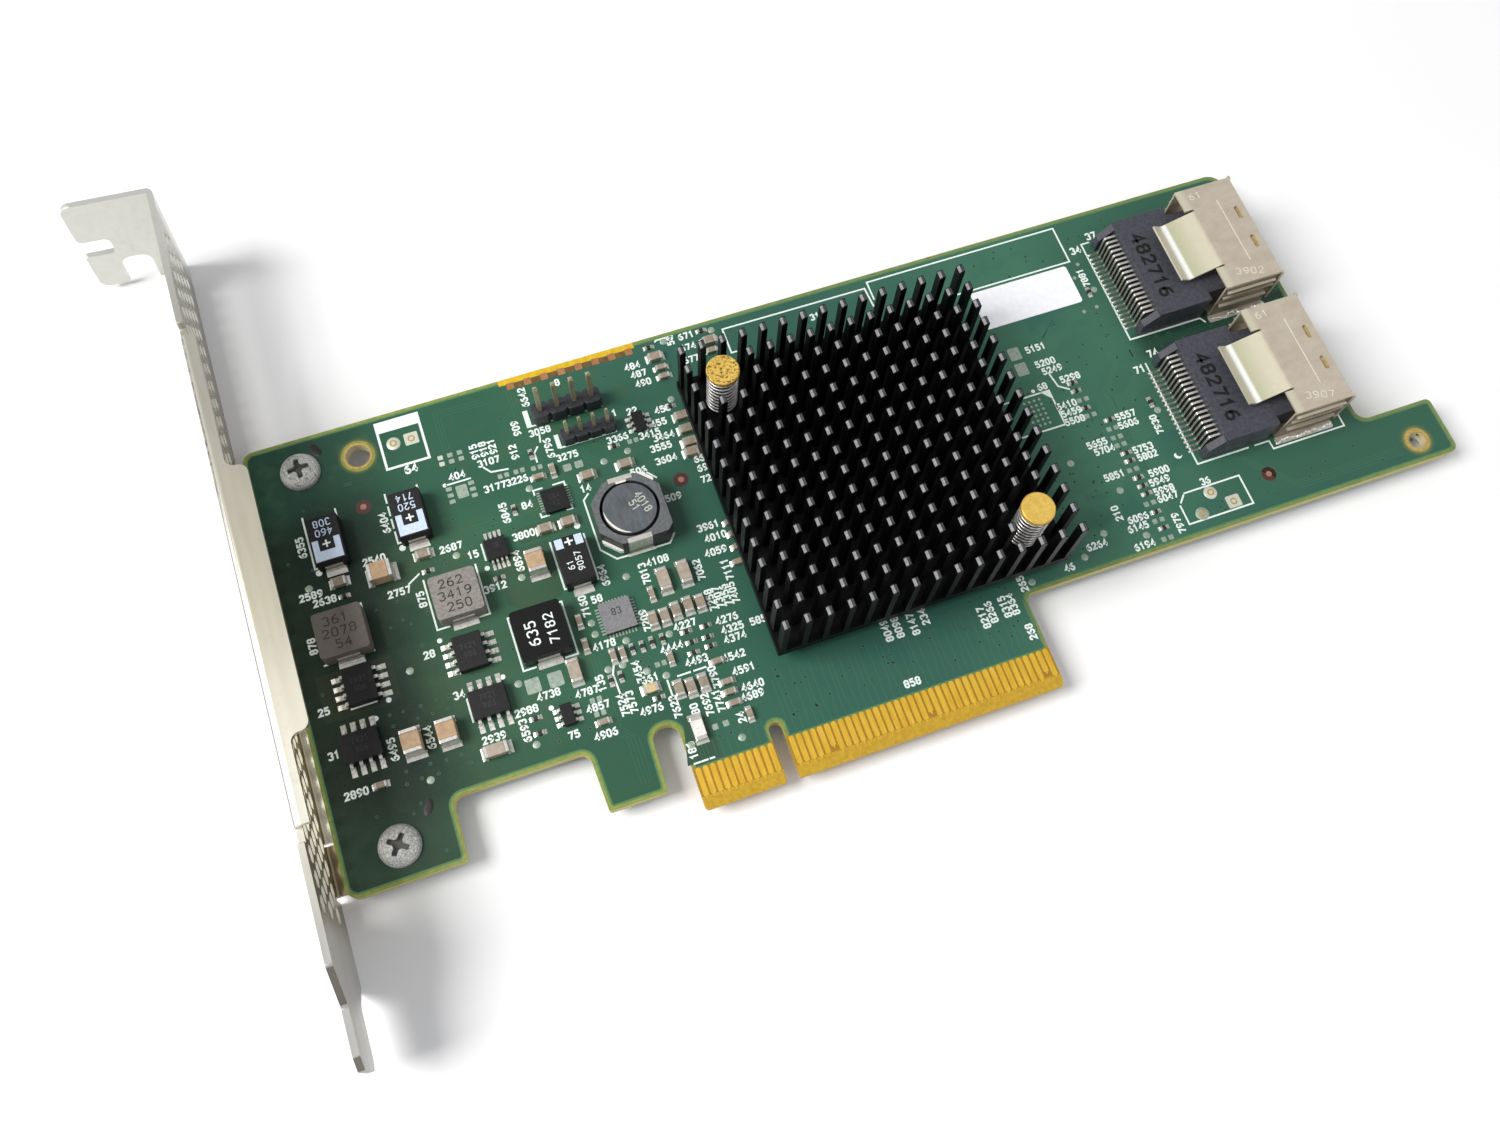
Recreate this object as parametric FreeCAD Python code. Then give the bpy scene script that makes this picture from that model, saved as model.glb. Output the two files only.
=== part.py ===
import FreeCAD, Part
import math, os

os.makedirs("parts", exist_ok=True)
V = FreeCAD.Vector

# Host bus adapter card, millimetres.
# Frame: X runs along the card away from the slot bracket, Y from the edge connector to the top edge of the board,
# Z up from the component face. The origin is at the middle of the connector key notch, on the connector's lower edge.

# ---- circuit board
BOARD_T = 1.57            # board thickness
BOARD_L = -58.2           # left edge (bracket side)
BOARD_R = 97.5            # right edge
BOARD_TOP = 68.9          # top edge above the connector's lower edge
TAIL_R = 109.3            # end of the tail
TAIL_TOP = 22.5
SHOULDER_Y = 13.6         # lower edge right of the connector
FOOT_Y = 3.9              # lower edge of foot and lug
CUT_Y = 12.3              # top of the two cut-outs
TONGUE_L, TONGUE_R = -12.15, 39.15
KEY_HALF, KEY_Y = 0.95, 8.0
BEVEL_Y, BEVEL_Z = 1.3, 0.42
SCREWS = [(-50.75, 63.65), (-50.35, 8.5)]
SCREW_TURN = [4, 56]      # cross recess, degrees
SCREW_HOLE_R = 1.65
HOLE_A, HOLE_A_R = (-42.6, 63.6), 1.7
HOLE_B, HOLE_B_R = (104.1, 16.9), 1.25

# ---- edge contacts
PITCH = 1.0
PAD_W, PAD_T = 0.72, 0.04
PAD_Y0, PAD_Y1 = 1.35, 5.6
SHORT_Y0 = 2.5

# ---- slot bracket
BR_T = 0.85               # sheet thickness
BR_OUT = -59.05           # outer face, at the upper edge
BR_IN = BR_OUT + BR_T
BR_ZT, BR_ZB = 14.6, -3.8 # upper and lower edges (width 18.4)
LEAN = 5.2                # the plate's lean towards the card, degrees
BR_TOP = 105.45           # outer face of the folded tab
BR_TIP = -16.5            # end of the tongue
TAB_X = -70.75            # free edge of the tab
SLOT_Z, SLOT_W, SLOT_X = 5.13, 3.3, -66.5
FL_Y0, FL_Y1 = 11.6, 80.5 # folded upper flange
FL_X = -57.1
RELIEF = 2.0
FLW_Y0, FLW_Y1 = 22.6, 59.6
FLW_X = -54.6
LOW_Y0, LOW_Y1 = 12.15, 59.35  # folded lower flange, between the ears
LOW_X = -54.9
LOW_S = 15.6              # from the upper edge down to where the lower folds begin
EAR_X = -45.9
EAR_HALF = 3.3
HEX_R = 1.28              # vent cell, centre to corner
HEX_PY, HEX_PZ = 3.0, 2.6

# ---- heat sink
HS_C = (24.72, 37.15)
HS_PITCH = 2.96
HS_N = 15
PIN_WX, PIN_WY = 0.82, 1.3
HS_Z0, HS_ZB, HS_ZT = 2.4, 4.0, 13.6
PP_OFF = 5.5 * HS_PITCH   # push pin, from the middle, both ways
PP_HEAD_R, PP_HEAD_T = 2.3, 0.85
PP_SHAFT_R = 1.05
SPRING_R, SPRING_WIRE, SPRING_TURNS = 2.08, 0.28, 9

# ---- ports
PORT_Y = [54.45, 32.8]
CAGE_X0, CAGE_X1, CAGE_HALF, CAGE_H, SHEET = 84.05, 93.15, 8.8, 7.8, 0.3
HOUS_X0, HOUS_X1, HOUS_HALF, HOUS_H = 74.4, 82.85, 8.55, 5.0
LEADS, LEAD_PITCH, LEAD_W = 18, 0.8, 0.32


def box(x0, x1, y0, y1, z0, z1):
    return Part.makeBox(x1 - x0, y1 - y0, z1 - z0, V(x0, y0, z0))


def cyl(x, y, z0, z1, r):
    return Part.makeCylinder(r, z1 - z0, V(x, y, z0))


def rwire(pts, place):
    """Closed wire through 2-D points (u, v, corner radius); place maps (u, v) to a vector."""
    n = len(pts)
    ins, outs, mids = [], [], []
    for i in range(n):
        u, v, r = pts[i]
        p = V(u, v, 0)
        a = V(pts[i - 1][0], pts[i - 1][1], 0) - p
        b = V(pts[(i + 1) % n][0], pts[(i + 1) % n][1], 0) - p
        a.normalize()
        b.normalize()
        if r <= 0:
            ins.append(p)
            outs.append(p)
            mids.append(None)
            continue
        ang = math.acos(max(-1.0, min(1.0, a.dot(b))))
        d = r / math.tan(ang / 2)
        bis = a + b
        bis.normalize()
        c = p + bis * (r / math.sin(ang / 2))
        ins.append(p + a * d)
        outs.append(p + b * d)
        mids.append(c - bis * r)
    edges = []
    for i in range(n):
        if mids[i] is not None:
            edges.append(Part.Arc(place(ins[i].x, ins[i].y), place(mids[i].x, mids[i].y), place(outs[i].x, outs[i].y)).toShape())
        s, e = outs[i], ins[(i + 1) % n]
        if (s - e).Length > 1e-6:
            edges.append(Part.LineSegment(place(s.x, s.y), place(e.x, e.y)).toShape())
    return Part.Wire(edges)


def slab_xy(pts, z0, z1):
    return Part.Face(rwire(pts, lambda u, v: V(u, v, z0))).extrude(V(0, 0, z1 - z0))


def slab_xz(pts, y0, y1):
    return Part.Face(rwire(pts, lambda u, v: V(u, y0, v))).extrude(V(0, y1 - y0, 0))


def slab_yz(pts, x0, x1):
    return Part.Face(rwire(pts, lambda u, v: V(x0, u, v))).extrude(V(x1 - x0, 0, 0))


def revolve(profile, x, y):
    """Solid of revolution about the vertical through (x, y); profile is a list of (radius, z)."""
    pts = [V(r, 0, z) for r, z in profile]
    pts.append(pts[0])
    f = Part.Face(Part.makePolygon(pts))
    s = f.revolve(V(0, 0, 0), V(0, 0, 1), 360)
    s.translate(V(x, y, 0))
    return s


def fuse(parts):
    s = parts[0].multiFuse(parts[1:])
    return s.removeSplitter()


def save(name, shape):
    solids = list(shape) if isinstance(shape, (list, tuple)) else [shape]
    flat = []
    for s in solids:
        flat.extend(s.Solids)
    out = flat[0] if len(flat) == 1 else Part.makeCompound(flat)
    out.exportStep("parts/%s.step" % name)
    bb = out.BoundBox
    print("%-28s %4d solids valid %s  x %.2f..%.2f y %.2f..%.2f z %.2f..%.2f" % (
        name, len(flat), all(s.isValid() for s in flat), bb.XMin, bb.XMax, bb.YMin, bb.YMax, bb.ZMin, bb.ZMax))


# =============================================================== circuit board
outline = [
    (BOARD_L, FOOT_Y, 1.8), (-42.75, FOOT_Y, 0.5), (-42.6, CUT_Y, 1.4), (-24.3, CUT_Y, 1.5),
    (-24.0, FOOT_Y, 0.4), (-16.1, FOOT_Y, 0.4), (-15.8, CUT_Y + 0.1, 1.75), (TONGUE_L, CUT_Y + 0.1, 1.75),
    (TONGUE_L, 0, 0.5), (-KEY_HALF, 0, 0.3), (-KEY_HALF, KEY_Y, 0.93), (KEY_HALF, KEY_Y, 0.93), (KEY_HALF, 0, 0.3),
    (TONGUE_R, 0, 0.5), (TONGUE_R, SHOULDER_Y, 1.3), (TAIL_R, SHOULDER_Y, 1.2), (TAIL_R, TAIL_TOP, 0.8),
    (BOARD_R, TAIL_TOP, 1.7), (BOARD_R, BOARD_TOP, 2.6), (BOARD_L, BOARD_TOP, 1.8),
]
board = slab_xy(outline, -BOARD_T, 0)
PIN_XY = [(-16.3 + 2.54 * i, 61.2) for i in range(4)]
LOW_XY = [(-13.65 + 2.0 * i, 56.6) for i in range(4)]
PUSH = [(HS_C[0] - PP_OFF, HS_C[1] + PP_OFF), (HS_C[0] + PP_OFF, HS_C[1] - PP_OFF)]
cuts = [cyl(x, y, -3, 1, SCREW_HOLE_R) for x, y in SCREWS]
cuts += [cyl(HOLE_A[0], HOLE_A[1], -3, 1, HOLE_A_R), cyl(HOLE_B[0], HOLE_B[1], -3, 1, HOLE_B_R)]
cuts += [cyl(x, y, -3, 1, 0.52) for x, y in PIN_XY] + [cyl(x, y, -3, 1, 0.42) for x, y in LOW_XY]
cuts += [cyl(x, y, -3, 1, 1.3) for x, y in PUSH]
for zs, ze in ((0, -BEVEL_Z), (-BOARD_T, -BOARD_T + BEVEL_Z)):
    far = zs + (zs - ze)
    w = Part.Face(Part.makePolygon([V(-14, -0.5, far), V(-14, BEVEL_Y, zs), V(-14, 0, ze), V(-14, -0.5, ze), V(-14, -0.5, far)]))
    cuts.append(w.extrude(V(56, 0, 0)))
board = board.cut(Part.makeCompound(cuts))
save("circuit_board", board)

# =============================================================== edge contacts, both faces
pads = []
for i in range(1, 50):
    x = (i - 12.5) * PITCH if i <= 11 else (i - 10.5) * PITCH
    yb = SHORT_Y0 if i in (17, 31, 48) else PAD_Y0
    ya = SHORT_Y0 if i == 1 else PAD_Y0
    pads.append(box(x - PAD_W / 2, x + PAD_W / 2, yb, PAD_Y1, 0, PAD_T))
    pads.append(box(x - PAD_W / 2, x + PAD_W / 2, ya, PAD_Y1, -BOARD_T - PAD_T, -BOARD_T))
save("edge_contacts", pads)

# =============================================================== slot bracket, one folded sheet
ZF = BR_ZT - 0.95         # fold starts here on the flange
ZL = BR_ZT - LOW_S
plate_pts = [
    (103.2, BR_ZT, 0), (FL_Y1 + RELIEF, BR_ZT, 0.2), (FL_Y1 + RELIEF, ZF - 0.5, 0.3), (FL_Y1, ZF - 0.5, 0.2), (FL_Y1, ZF, 0),
    (FL_Y0, ZF, 0), (FL_Y0, ZF - 0.5, 0.2), (FL_Y0 - RELIEF, ZF - 0.5, 0.3), (FL_Y0 - RELIEF, BR_ZT, 0.2),
    (-4.9, BR_ZT, 0.6), (-9.2, 10.3, 0.8), (BR_TIP + 1.6, 10.2, 0.3), (BR_TIP, 8.7, 0.4), (BR_TIP, 1.4, 0.4), (BR_TIP + 1.2, 0.2, 0.3), (-8.9, 0.0, 0.8), (-6.3, BR_ZB, 1.0),
    (SCREWS[1][1] - EAR_HALF - 0.5, BR_ZB, 0.3), (SCREWS[1][1] - EAR_HALF - 0.5, ZL, 0.3),
    (SCREWS[0][1] + EAR_HALF + 0.5, ZL, 0.3), (SCREWS[0][1] + EAR_HALF + 0.5, BR_ZB, 0.3),
    (103.2, BR_ZB, 0),
]
wires = [rwire(plate_pts, lambda u, v: V(BR_OUT, u, v))]
for row in range(5):
    zc = 1.1 + row * HEX_PZ
    k0 = 0.0 if row % 2 == 0 else HEX_PY / 2
    for k in range(33):
        yc = 2.6 + k0 + k * HEX_PY
        if yc > 100.8:
            continue
        ring = [V(BR_OUT, yc + HEX_R * math.cos(a), zc + HEX_R * math.sin(a)) for a in [math.radians(60 * q + 30) for q in range(6)]]
        wires.append(Part.makePolygon(ring + [ring[0]]))
plate = Part.makeFace(wires, "Part::FaceMakerBullseye").extrude(V(BR_T, 0, 0))
R_O, R_I = 0.95, 0.1
# flange fold along the upper edge
flange = slab_xz([(BR_OUT, ZF, 0), (BR_OUT, BR_ZT, R_O), (FL_X, BR_ZT, 0), (FL_X, BR_ZT - BR_T, 0), (BR_IN, BR_ZT - BR_T, R_I), (BR_IN, ZF, 0)], FL_Y0, FL_Y1)
wide = slab_xy([(FL_X - 0.4, FLW_Y0 - 1.4, 0), (FL_X, FLW_Y0 - 1.4, 0), (FL_X, FLW_Y0, 1.2), (FLW_X, FLW_Y0, 1.2), (FLW_X, FLW_Y1, 1.2),
                (FL_X, FLW_Y1, 1.2), (FL_X, FLW_Y1 + 1.4, 0), (FL_X - 0.4, FLW_Y1 + 1.4, 0)], BR_ZT - BR_T, BR_ZT)
# tab fold at the top end
TAB_B = BR_TOP - BR_T
TAB_R = BR_OUT - 1.4      # where the fold ends
bend = slab_xy([(BR_IN, 103.2, 0), (BR_IN, BR_TOP, R_O), (TAB_R, BR_TOP, 0), (TAB_R, TAB_B, 0), (BR_OUT, TAB_B, R_I), (BR_OUT, 103.2, 0)], BR_ZB, BR_ZT)
tab = slab_xz([(TAB_R, BR_ZT, 0), (TAB_X, BR_ZT, 1.5), (TAB_X, SLOT_Z + SLOT_W / 2, 1.0), (SLOT_X, SLOT_Z + SLOT_W / 2, 1.0), (SLOT_X, SLOT_Z - SLOT_W / 2, 0.3), (TAB_X, SLOT_Z - SLOT_W / 2, 0.4),
               (TAB_X, BR_ZB, 1.6), (-66.6, BR_ZB, 0.3), (-66.6, 1.85, 1.6), (-62.3, 1.85, 1.6), (-62.3, BR_ZB, 0), (TAB_R, BR_ZB, 0)], TAB_B, BR_TOP)
leaning = fuse([plate, flange, wide, bend, tab])
leaning.rotate(V(BR_OUT, 0, BR_ZT), V(0, 1, 0), LEAN)
# lower folds: the plate's two faces run down to the horizontal sheet under the board
SN, CS = math.sin(math.radians(LEAN)), math.cos(math.radians(LEAN))
ZU, ZV = -BOARD_T, -BOARD_T - BR_T


def outer_at(s):
    return BR_OUT - s * SN, BR_ZT - s * CS


def inner_at(s):
    return BR_OUT + BR_T * CS - s * SN, BR_ZT - BR_T * SN - s * CS


o1, i1 = outer_at(LOW_S - 0.01), inner_at(LOW_S - 0.01)
oc = outer_at((BR_ZT - ZV) / CS)
ic = inner_at((BR_ZT - BR_T * SN - ZU) / CS)


def low_fold(x_end, y0, y1):
    return slab_xz([(o1[0], o1[1], 0), (oc[0], oc[1], 0.95), (x_end, ZV, 0), (x_end, ZU, 0), (ic[0], ic[1], 0.35), (i1[0], i1[1], 0)], y0, y1)


low = [low_fold(LOW_X, LOW_Y0, LOW_Y1)]
for x, y in SCREWS:
    low.append(low_fold(-57.0, y - EAR_HALF, y + EAR_HALF))
    e = slab_xy([(-57.1, y - EAR_HALF, 0), (EAR_X, y - EAR_HALF, 2.6), (EAR_X, y + EAR_HALF, 2.6), (-57.1, y + EAR_HALF, 0)], ZV, ZU)
    low.append(e.cut(cyl(x, y, -5, 1, 1.5)))
bracket = fuse([leaning] + low)
save("slot_bracket", bracket)

# =============================================================== bracket screws
screws = []
for (x, y), turn in zip(SCREWS, SCREW_TURN):
    s = revolve([(0, 0), (2.8, 0), (2.8, 0.3), (2.68, 0.62), (2.4, 0.95), (1.95, 1.22), (1.4, 1.42), (0.7, 1.54), (0, 1.57)], x, y)
    s = s.fuse(cyl(x, y, -3.6, 0, 1.45)).removeSplitter()
    recess = [cyl(x, y, 0.65, 3, 0.72)]
    for ang in (turn, turn + 90):
        c = slab_xy([(-1.5, -0.37, 0.2), (1.5, -0.37, 0.2), (1.5, 0.37, 0.2), (-1.5, 0.37, 0.2)], 0.75, 3)
        c.rotate(V(0, 0, 0), V(0, 0, 1), ang)
        c.translate(V(x, y, 0))
        recess.append(c)
    screws.append(s.cut(fuse(recess)))
save("bracket_screws", screws)

# =============================================================== heat sink and its fixings
half = (HS_N - 1) / 2 * HS_PITCH
hx0, hx1 = HS_C[0] - half - PIN_WY / 2, HS_C[0] + half + PIN_WY / 2
hy0, hy1 = HS_C[1] - half - PIN_WY / 2, HS_C[1] + half + PIN_WY / 2


def comb(centre, width, lo, hi, bevel):
    pts = [(lo, HS_Z0), (hi, HS_Z0)]
    xs = [centre - half + i * HS_PITCH for i in range(HS_N)]
    pts.append((hi, HS_ZB))
    for x in reversed(xs):
        a, b = x - width / 2, x + width / 2
        if abs(b - hi) > 1e-6:
            pts.append((b, HS_ZB))
        else:
            pts.pop()
        pts.append((b, HS_ZT))
        if bevel:
            pts.append((a + 0.41, HS_ZT))
            pts.append((a, HS_ZT - 0.28))
        else:
            pts.append((a, HS_ZT))
        if abs(a - lo) > 1e-6:
            pts.append((a, HS_ZB))
    if abs(pts[-1][0] - lo) > 1e-6:
        pts.append((lo, HS_ZB))
    return pts


ca = comb(HS_C[0], PIN_WX, hx0, hx1, True)
cb = comb(HS_C[1], PIN_WY, hy0, hy1, False)
fa = Part.Face(Part.makePolygon([V(u, hy0, w) for u, w in ca] + [V(ca[0][0], hy0, ca[0][1])])).extrude(V(0, hy1 - hy0, 0))
fb = Part.Face(Part.makePolygon([V(hx0, u, w) for u, w in cb] + [V(hx0, cb[0][0], cb[0][1])])).extrude(V(hx1 - hx0, 0, 0))
sink = fa.common(fb)
sink = sink.cut(Part.makeCompound([cyl(x, y, HS_ZB, 20, 3.3) for x, y in PUSH] + [cyl(x, y, 0, 20, 1.5) for x, y in PUSH]))
save("heat_sink", sink)
HEAD_Z = 13.3
pins = []
for x, y in PUSH:
    pins.append(revolve([(0, HEAD_Z), (PP_HEAD_R - 0.15, HEAD_Z), (PP_HEAD_R, HEAD_Z - 0.15), (PP_HEAD_R, HEAD_Z - PP_HEAD_T), (PP_SHAFT_R, HEAD_Z - PP_HEAD_T),
                         (PP_SHAFT_R, -BOARD_T - 0.03), (1.6, -BOARD_T - 0.03), (1.6, -BOARD_T - 0.5), (0.7, -3.7), (0, -3.7)], x, y))
save("heat_sink_push_pins", pins)
springs = []
sz0, sz1 = HS_ZB + SPRING_WIRE / 2 + 0.02, HEAD_Z - PP_HEAD_T - SPRING_WIRE / 2 - 0.02
for x, y in PUSH:
    helix = Part.makeHelix((sz1 - sz0) / SPRING_TURNS, sz1 - sz0, SPRING_R)
    prof = Part.Wire(Part.makeCircle(SPRING_WIRE / 2, V(SPRING_R, 0, 0), V(0, 1, 0)))
    sp = Part.Wire(helix.Edges).makePipeShell([prof], True, True)
    sp.translate(V(x, y, sz0))
    springs.append(sp)
save("heat_sink_springs", springs)
chip = fuse([box(HS_C[0] - 13.5, HS_C[0] + 13.5, HS_C[1] - 13.5, HS_C[1] + 13.5, 0, 1.1),
             box(HS_C[0] - 11, HS_C[0] + 11, HS_C[1] - 11, HS_C[1] + 11, 1.1, 2.2)])
save("controller_chip", chip)
save("thermal_pad", box(HS_C[0] - 10.5, HS_C[0] + 10.5, HS_C[1] - 10.5, HS_C[1] + 10.5, 2.2, HS_Z0))

# =============================================================== ports
cages, housings, leads = [], [], []
for yc in PORT_Y:
    x0, x1, h, t = CAGE_X0, CAGE_X1, CAGE_HALF, SHEET
    shell = box(x0, x1, yc - h, yc + h, 0, CAGE_H).cut(box(x0 - 1, x1 + 1, yc - h + t, yc + h - t, t, CAGE_H - t))
    # relief cuts beside the spring tongue, and the tongue's own strip of top plate
    for sgn in (1, -1):
        ya, yb = sorted((yc + sgn * 4.9, yc + sgn * 5.2))
        shell = shell.cut(box(x0 - 1, 85.5, ya, yb, CAGE_H - 2 * t, CAGE_H + 1))
    shell = shell.cut(box(x0 - 1, 85.3, yc - 4.95, yc + 4.95, CAGE_H - 2 * t, CAGE_H + 1))
    for dy in (2.65, -2.65):
        shell = shell.cut(slab_xy([(91.4, yc + dy - 1.1, 0.36), (92.15, yc + dy - 1.1, 0.36), (92.15, yc + dy + 1.1, 0.36), (91.4, yc + dy + 1.1, 0.36)], CAGE_H - 2 * t, CAGE_H + 1))
    up = [(85.6, CAGE_H, 0), (85.2, CAGE_H - 0.02, 0.6), (80.45, 6.05, 0.5), (79.0, 6.8, 0)]
    lo = [(78.86, 6.54, 0), (80.42, 5.73, 0.8), (85.1, CAGE_H - t - 0.01, 0.3), (85.6, CAGE_H - t, 0)]
    spring = slab_xz(up + lo, yc - 4.9, yc + 4.9)
    bits = [shell, spring]
    for sgn in (1, -1):
        ya, yb = sorted((yc + sgn * (h - 0.05), yc + sgn * (h + 0.5)))
        bits.append(box(x0 - 0.2, x1 - 0.2, ya, yb, 0, t))
        bits.append(box(x0 + 0.4, x1 - 0.9, ya, yb, 2.9, 2.9 + t))
        ya, yb = sorted((yc + sgn * (h - 0.05), yc + sgn * (h + 0.35)))
        bits.append(box(x0 + 0.3, x1 - 0.3, ya, yb, 4.9, 4.9 + t))
        ya, yb = sorted((yc + sgn * (h - 0.05), yc + sgn * (h + 0.45)))
        bits.append(box(x0 + 0.5, x1 - 0.7, ya, yb, 6.3, 6.3 + t))
        ya, yb = sorted((yc + sgn * (h - t), yc + sgn * (h + 0.25)))
        bits.append(box(x1 - 0.02, x1 + 0.3, ya, yb, 1.2, CAGE_H))
    cages.append(fuse(bits))
    body = box(HOUS_X0, HOUS_X1, yc - HOUS_HALF, yc + HOUS_HALF, 0, HOUS_H)
    nose = box(HOUS_X1 - 0.1, 87.6, yc - 7.2, yc + 7.2, 0.6, 4.9)
    parts = [body, nose]
    for sgn in (1, -1):
        ya, yb = sorted((yc + sgn * 7.35, yc + sgn * 8.5))
        parts.append(slab_xz([(HOUS_X0 + 0.1, 0, 0), (HOUS_X0 + 0.1, 4.6, 0), (HOUS_X0, 4.6, 0), (72.3, 2.6, 0), (72.3, 0, 0)], ya, yb))
    body = fuse(parts).cut(box(84.2, 88, yc - 6.9, yc + 6.9, 2.1, 3.5))
    housings.append(body)
    for i in range(LEADS):
        y = yc + (i - (LEADS - 1) / 2) * LEAD_PITCH
        leads.append(slab_xz([(HOUS_X0, 3.85, 0), (72.65, 3.85, 0.25), (72.65, 0.2, 0.12), (71.5, 0.2, 0), (71.5, 0, 0), (72.87, 0, 0.3), (72.87, 3.63, 0.05), (HOUS_X0, 3.63, 0)],
                             y - LEAD_W / 2, y + LEAD_W / 2))
save("port_cages", cages)
save("port_housings", housings)
save("port_contacts", leads)

# =============================================================== pin headers


def header_body(xy, pitch, wide_y, height, hole):
    bits = []
    for x, y in xy:
        c = pitch * 0.16
        bits.append(slab_xy([(x - pitch / 2 + c, y - wide_y / 2, 0), (x + pitch / 2 - c, y - wide_y / 2, 0), (x + pitch / 2, y - wide_y / 2 + c, 0), (x + pitch / 2, y + wide_y / 2 - c, 0),
                             (x + pitch / 2 - c, y + wide_y / 2, 0), (x - pitch / 2 + c, y + wide_y / 2, 0), (x - pitch / 2, y + wide_y / 2 - c, 0), (x - pitch / 2, y - wide_y / 2 + c, 0)], 0, height))
    return fuse(bits).cut(Part.makeCompound([box(x - hole, x + hole, y - hole, y + hole, -1, height + 1) for x, y in xy]))


def square_pin(x, y, half_w, z0, z1):
    c = half_w * 0.5
    pts = [(half_w, z0), (half_w, z1 - 0.4)]
    body = box(x - half_w, x + half_w, y - half_w, y + half_w, z0 + 0.3, z1 - 0.4)
    for za, zb in ((z1 - 0.4, z1), (z0 + 0.3, z0)):
        w1 = Part.makePolygon([V(x - half_w, y - half_w, za), V(x + half_w, y - half_w, za), V(x + half_w, y + half_w, za), V(x - half_w, y + half_w, za), V(x - half_w, y - half_w, za)])
        w2 = Part.makePolygon([V(x - c, y - c, zb), V(x + c, y - c, zb), V(x + c, y + c, zb), V(x - c, y + c, zb), V(x - c, y - c, zb)])
        body = body.fuse(Part.makeLoft([w1, w2], True, True))
    return body.removeSplitter()


save("tall_header_body", header_body(PIN_XY, 2.54, 2.45, 2.5, 0.33))
save("tall_header_pins", [square_pin(x, y, 0.32, -3.0, 8.9) for x, y in PIN_XY])
save("low_header_body", header_body(LOW_XY, 2.0, 1.95, 2.0, 0.26))
save("low_header_pins", [square_pin(x, y, 0.25, -2.8, 5.8) for x, y in LOW_XY])

# =============================================================== board components


def chip_part(x, y, ln, wd, ht, cap, along_x):
    """Body and two end caps of a chip component standing on the board."""
    if along_x:
        b = box(x - ln / 2 + cap, x + ln / 2 - cap, y - wd / 2, y + wd / 2, 0.04, ht - 0.02)
        e = [box(x - ln / 2, x - ln / 2 + cap, y - wd / 2, y + wd / 2, 0, ht), box(x + ln / 2 - cap, x + ln / 2, y - wd / 2, y + wd / 2, 0, ht)]
    else:
        b = box(x - wd / 2, x + wd / 2, y - ln / 2 + cap, y + ln / 2 - cap, 0.04, ht - 0.02)
        e = [box(x - wd / 2, x + wd / 2, y - ln / 2, y - ln / 2 + cap, 0, ht), box(x - wd / 2, x + wd / 2, y + ln / 2 - cap, y + ln / 2, 0, ht)]
    return b, e


def chip_group(name, items, ln, wd, ht, cap):
    bodies, ends = [], []
    for x, y, ax in items:
        b, e = chip_part(x, y, ln, wd, ht, cap, ax)
        bodies.append(b)
        ends += e
    save(name + "_bodies", bodies)
    save(name + "_ends", ends)


chip_group("large_capacitor", [(-43.65, 44.95, True), (-23.3, 39.6, False), (-45.45, 20.75, False), (-40.8, 20.55, False)], 3.2, 2.5, 2.4, 0.5)
chip_group("medium_capacitor", [(-35.5, 16.3, True), (-7.5, 31.7, False), (-4.5, 31.8, False), (-22.8, 23.2, False)], 3.2, 1.6, 1.3, 0.45)
chip_group("small_capacitor", [(-37.6, 46.0, True), (-7.2, 50.2, True), (-12.8, 50.2, True), (-49.4, 45.7, True), (-17.4, 44.3, True), (-20.7, 44.3, True), (2.2, 65.3, True), (10.7, 65.4, True), (2.8, 54.9, True), (2.8, 52.7, True), (2.7, 50.6, True), (2.4, 49.0, True),
                               (-10.7, 26.7, False), (-9.0, 26.7, False), (-7.3, 27.0, False), (-5.5, 27.2, False), (-3.8, 27.0, False),
                               (-10.4, 16.4, False), (-8.8, 16.1, False), (-7.0, 16.2, False)], 2.0, 1.25, 0.95, 0.35)
chip_group("tiny_capacitor", [(-19.4, 52.2, True), (2.5, 63.4, True), (2.5, 61.9, True), (-17.2, 52.6, False), (-17.3, 23.6, False), (-10.1, 20.8, False), (-2.6, 10.1, False),
                              (-20.2, 29.8, False), (-20.4, 26.2, False), (-16.0, 23.55, False), (-21.2, 15.4, True),
                              (-4.3, 18.4, True), (-4.0, 15.3, True), (-4.1, 13.85, True), (-4.0, 12.25, True), (4.0, 37.0, True), (4.0, 35.2, True), (3.9, 33.2, True), (3.1, 31.0, True),
                              (-9.7, 30.4, False), (-50.75, 16.8, True), (10.5, 63.75, True)], 1.6, 0.8, 0.75, 0.3)
RES_X = [(59.4, 41.8), (59.4, 40.4), (59.5, 37.4), (62.1, 34.5), (62.1, 28.8), (62.1, 27.5), (62.1, 24.7), (62.1, 23.3), (62.1, 22.0), (62.1, 19.0), (62.1, 16.4),
         (-6.7, 22.1), (-6.9, 23.75), (10.1, 67.5), (-4.1, 23.7), (-4.4, 22.1), (-4.4, 20.8), (-6.9, 20.6), (-29.5, 18.8), (-29.5, 16.7), (-13.3, 16.2), (1.8, 67.2), (1.8, 57.0),
         (-7.8, 53.5), (-28.7, 39.4), (-37.6, 43.5), (-49.2, 43.6)]
RES_Y = [(-14.6, 23.8), (-13.2, 23.7), (-11.8, 23.8), (-10.3, 23.8), (-17.2, 20.6), (-18.6, 20.5), (-19.4, 56.0), (-24.0, 48.5), (69.1, 35.2), (68.4, 55.3)]
chip_group("chip_resistor", [(x, y, True) for x, y in RES_X] + [(x, y, False) for x, y in RES_Y], 1.05, 0.55, 0.38, 0.25)
b, e = chip_part(-9.7, 10.4, 3.2, 1.6, 0.95, 0.5, False)
save("fuse_body", b)
save("fuse_ends", e)
b, e = chip_part(-13.9, 17.7, 2.0, 1.25, 0.8, 0.35, True)
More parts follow.
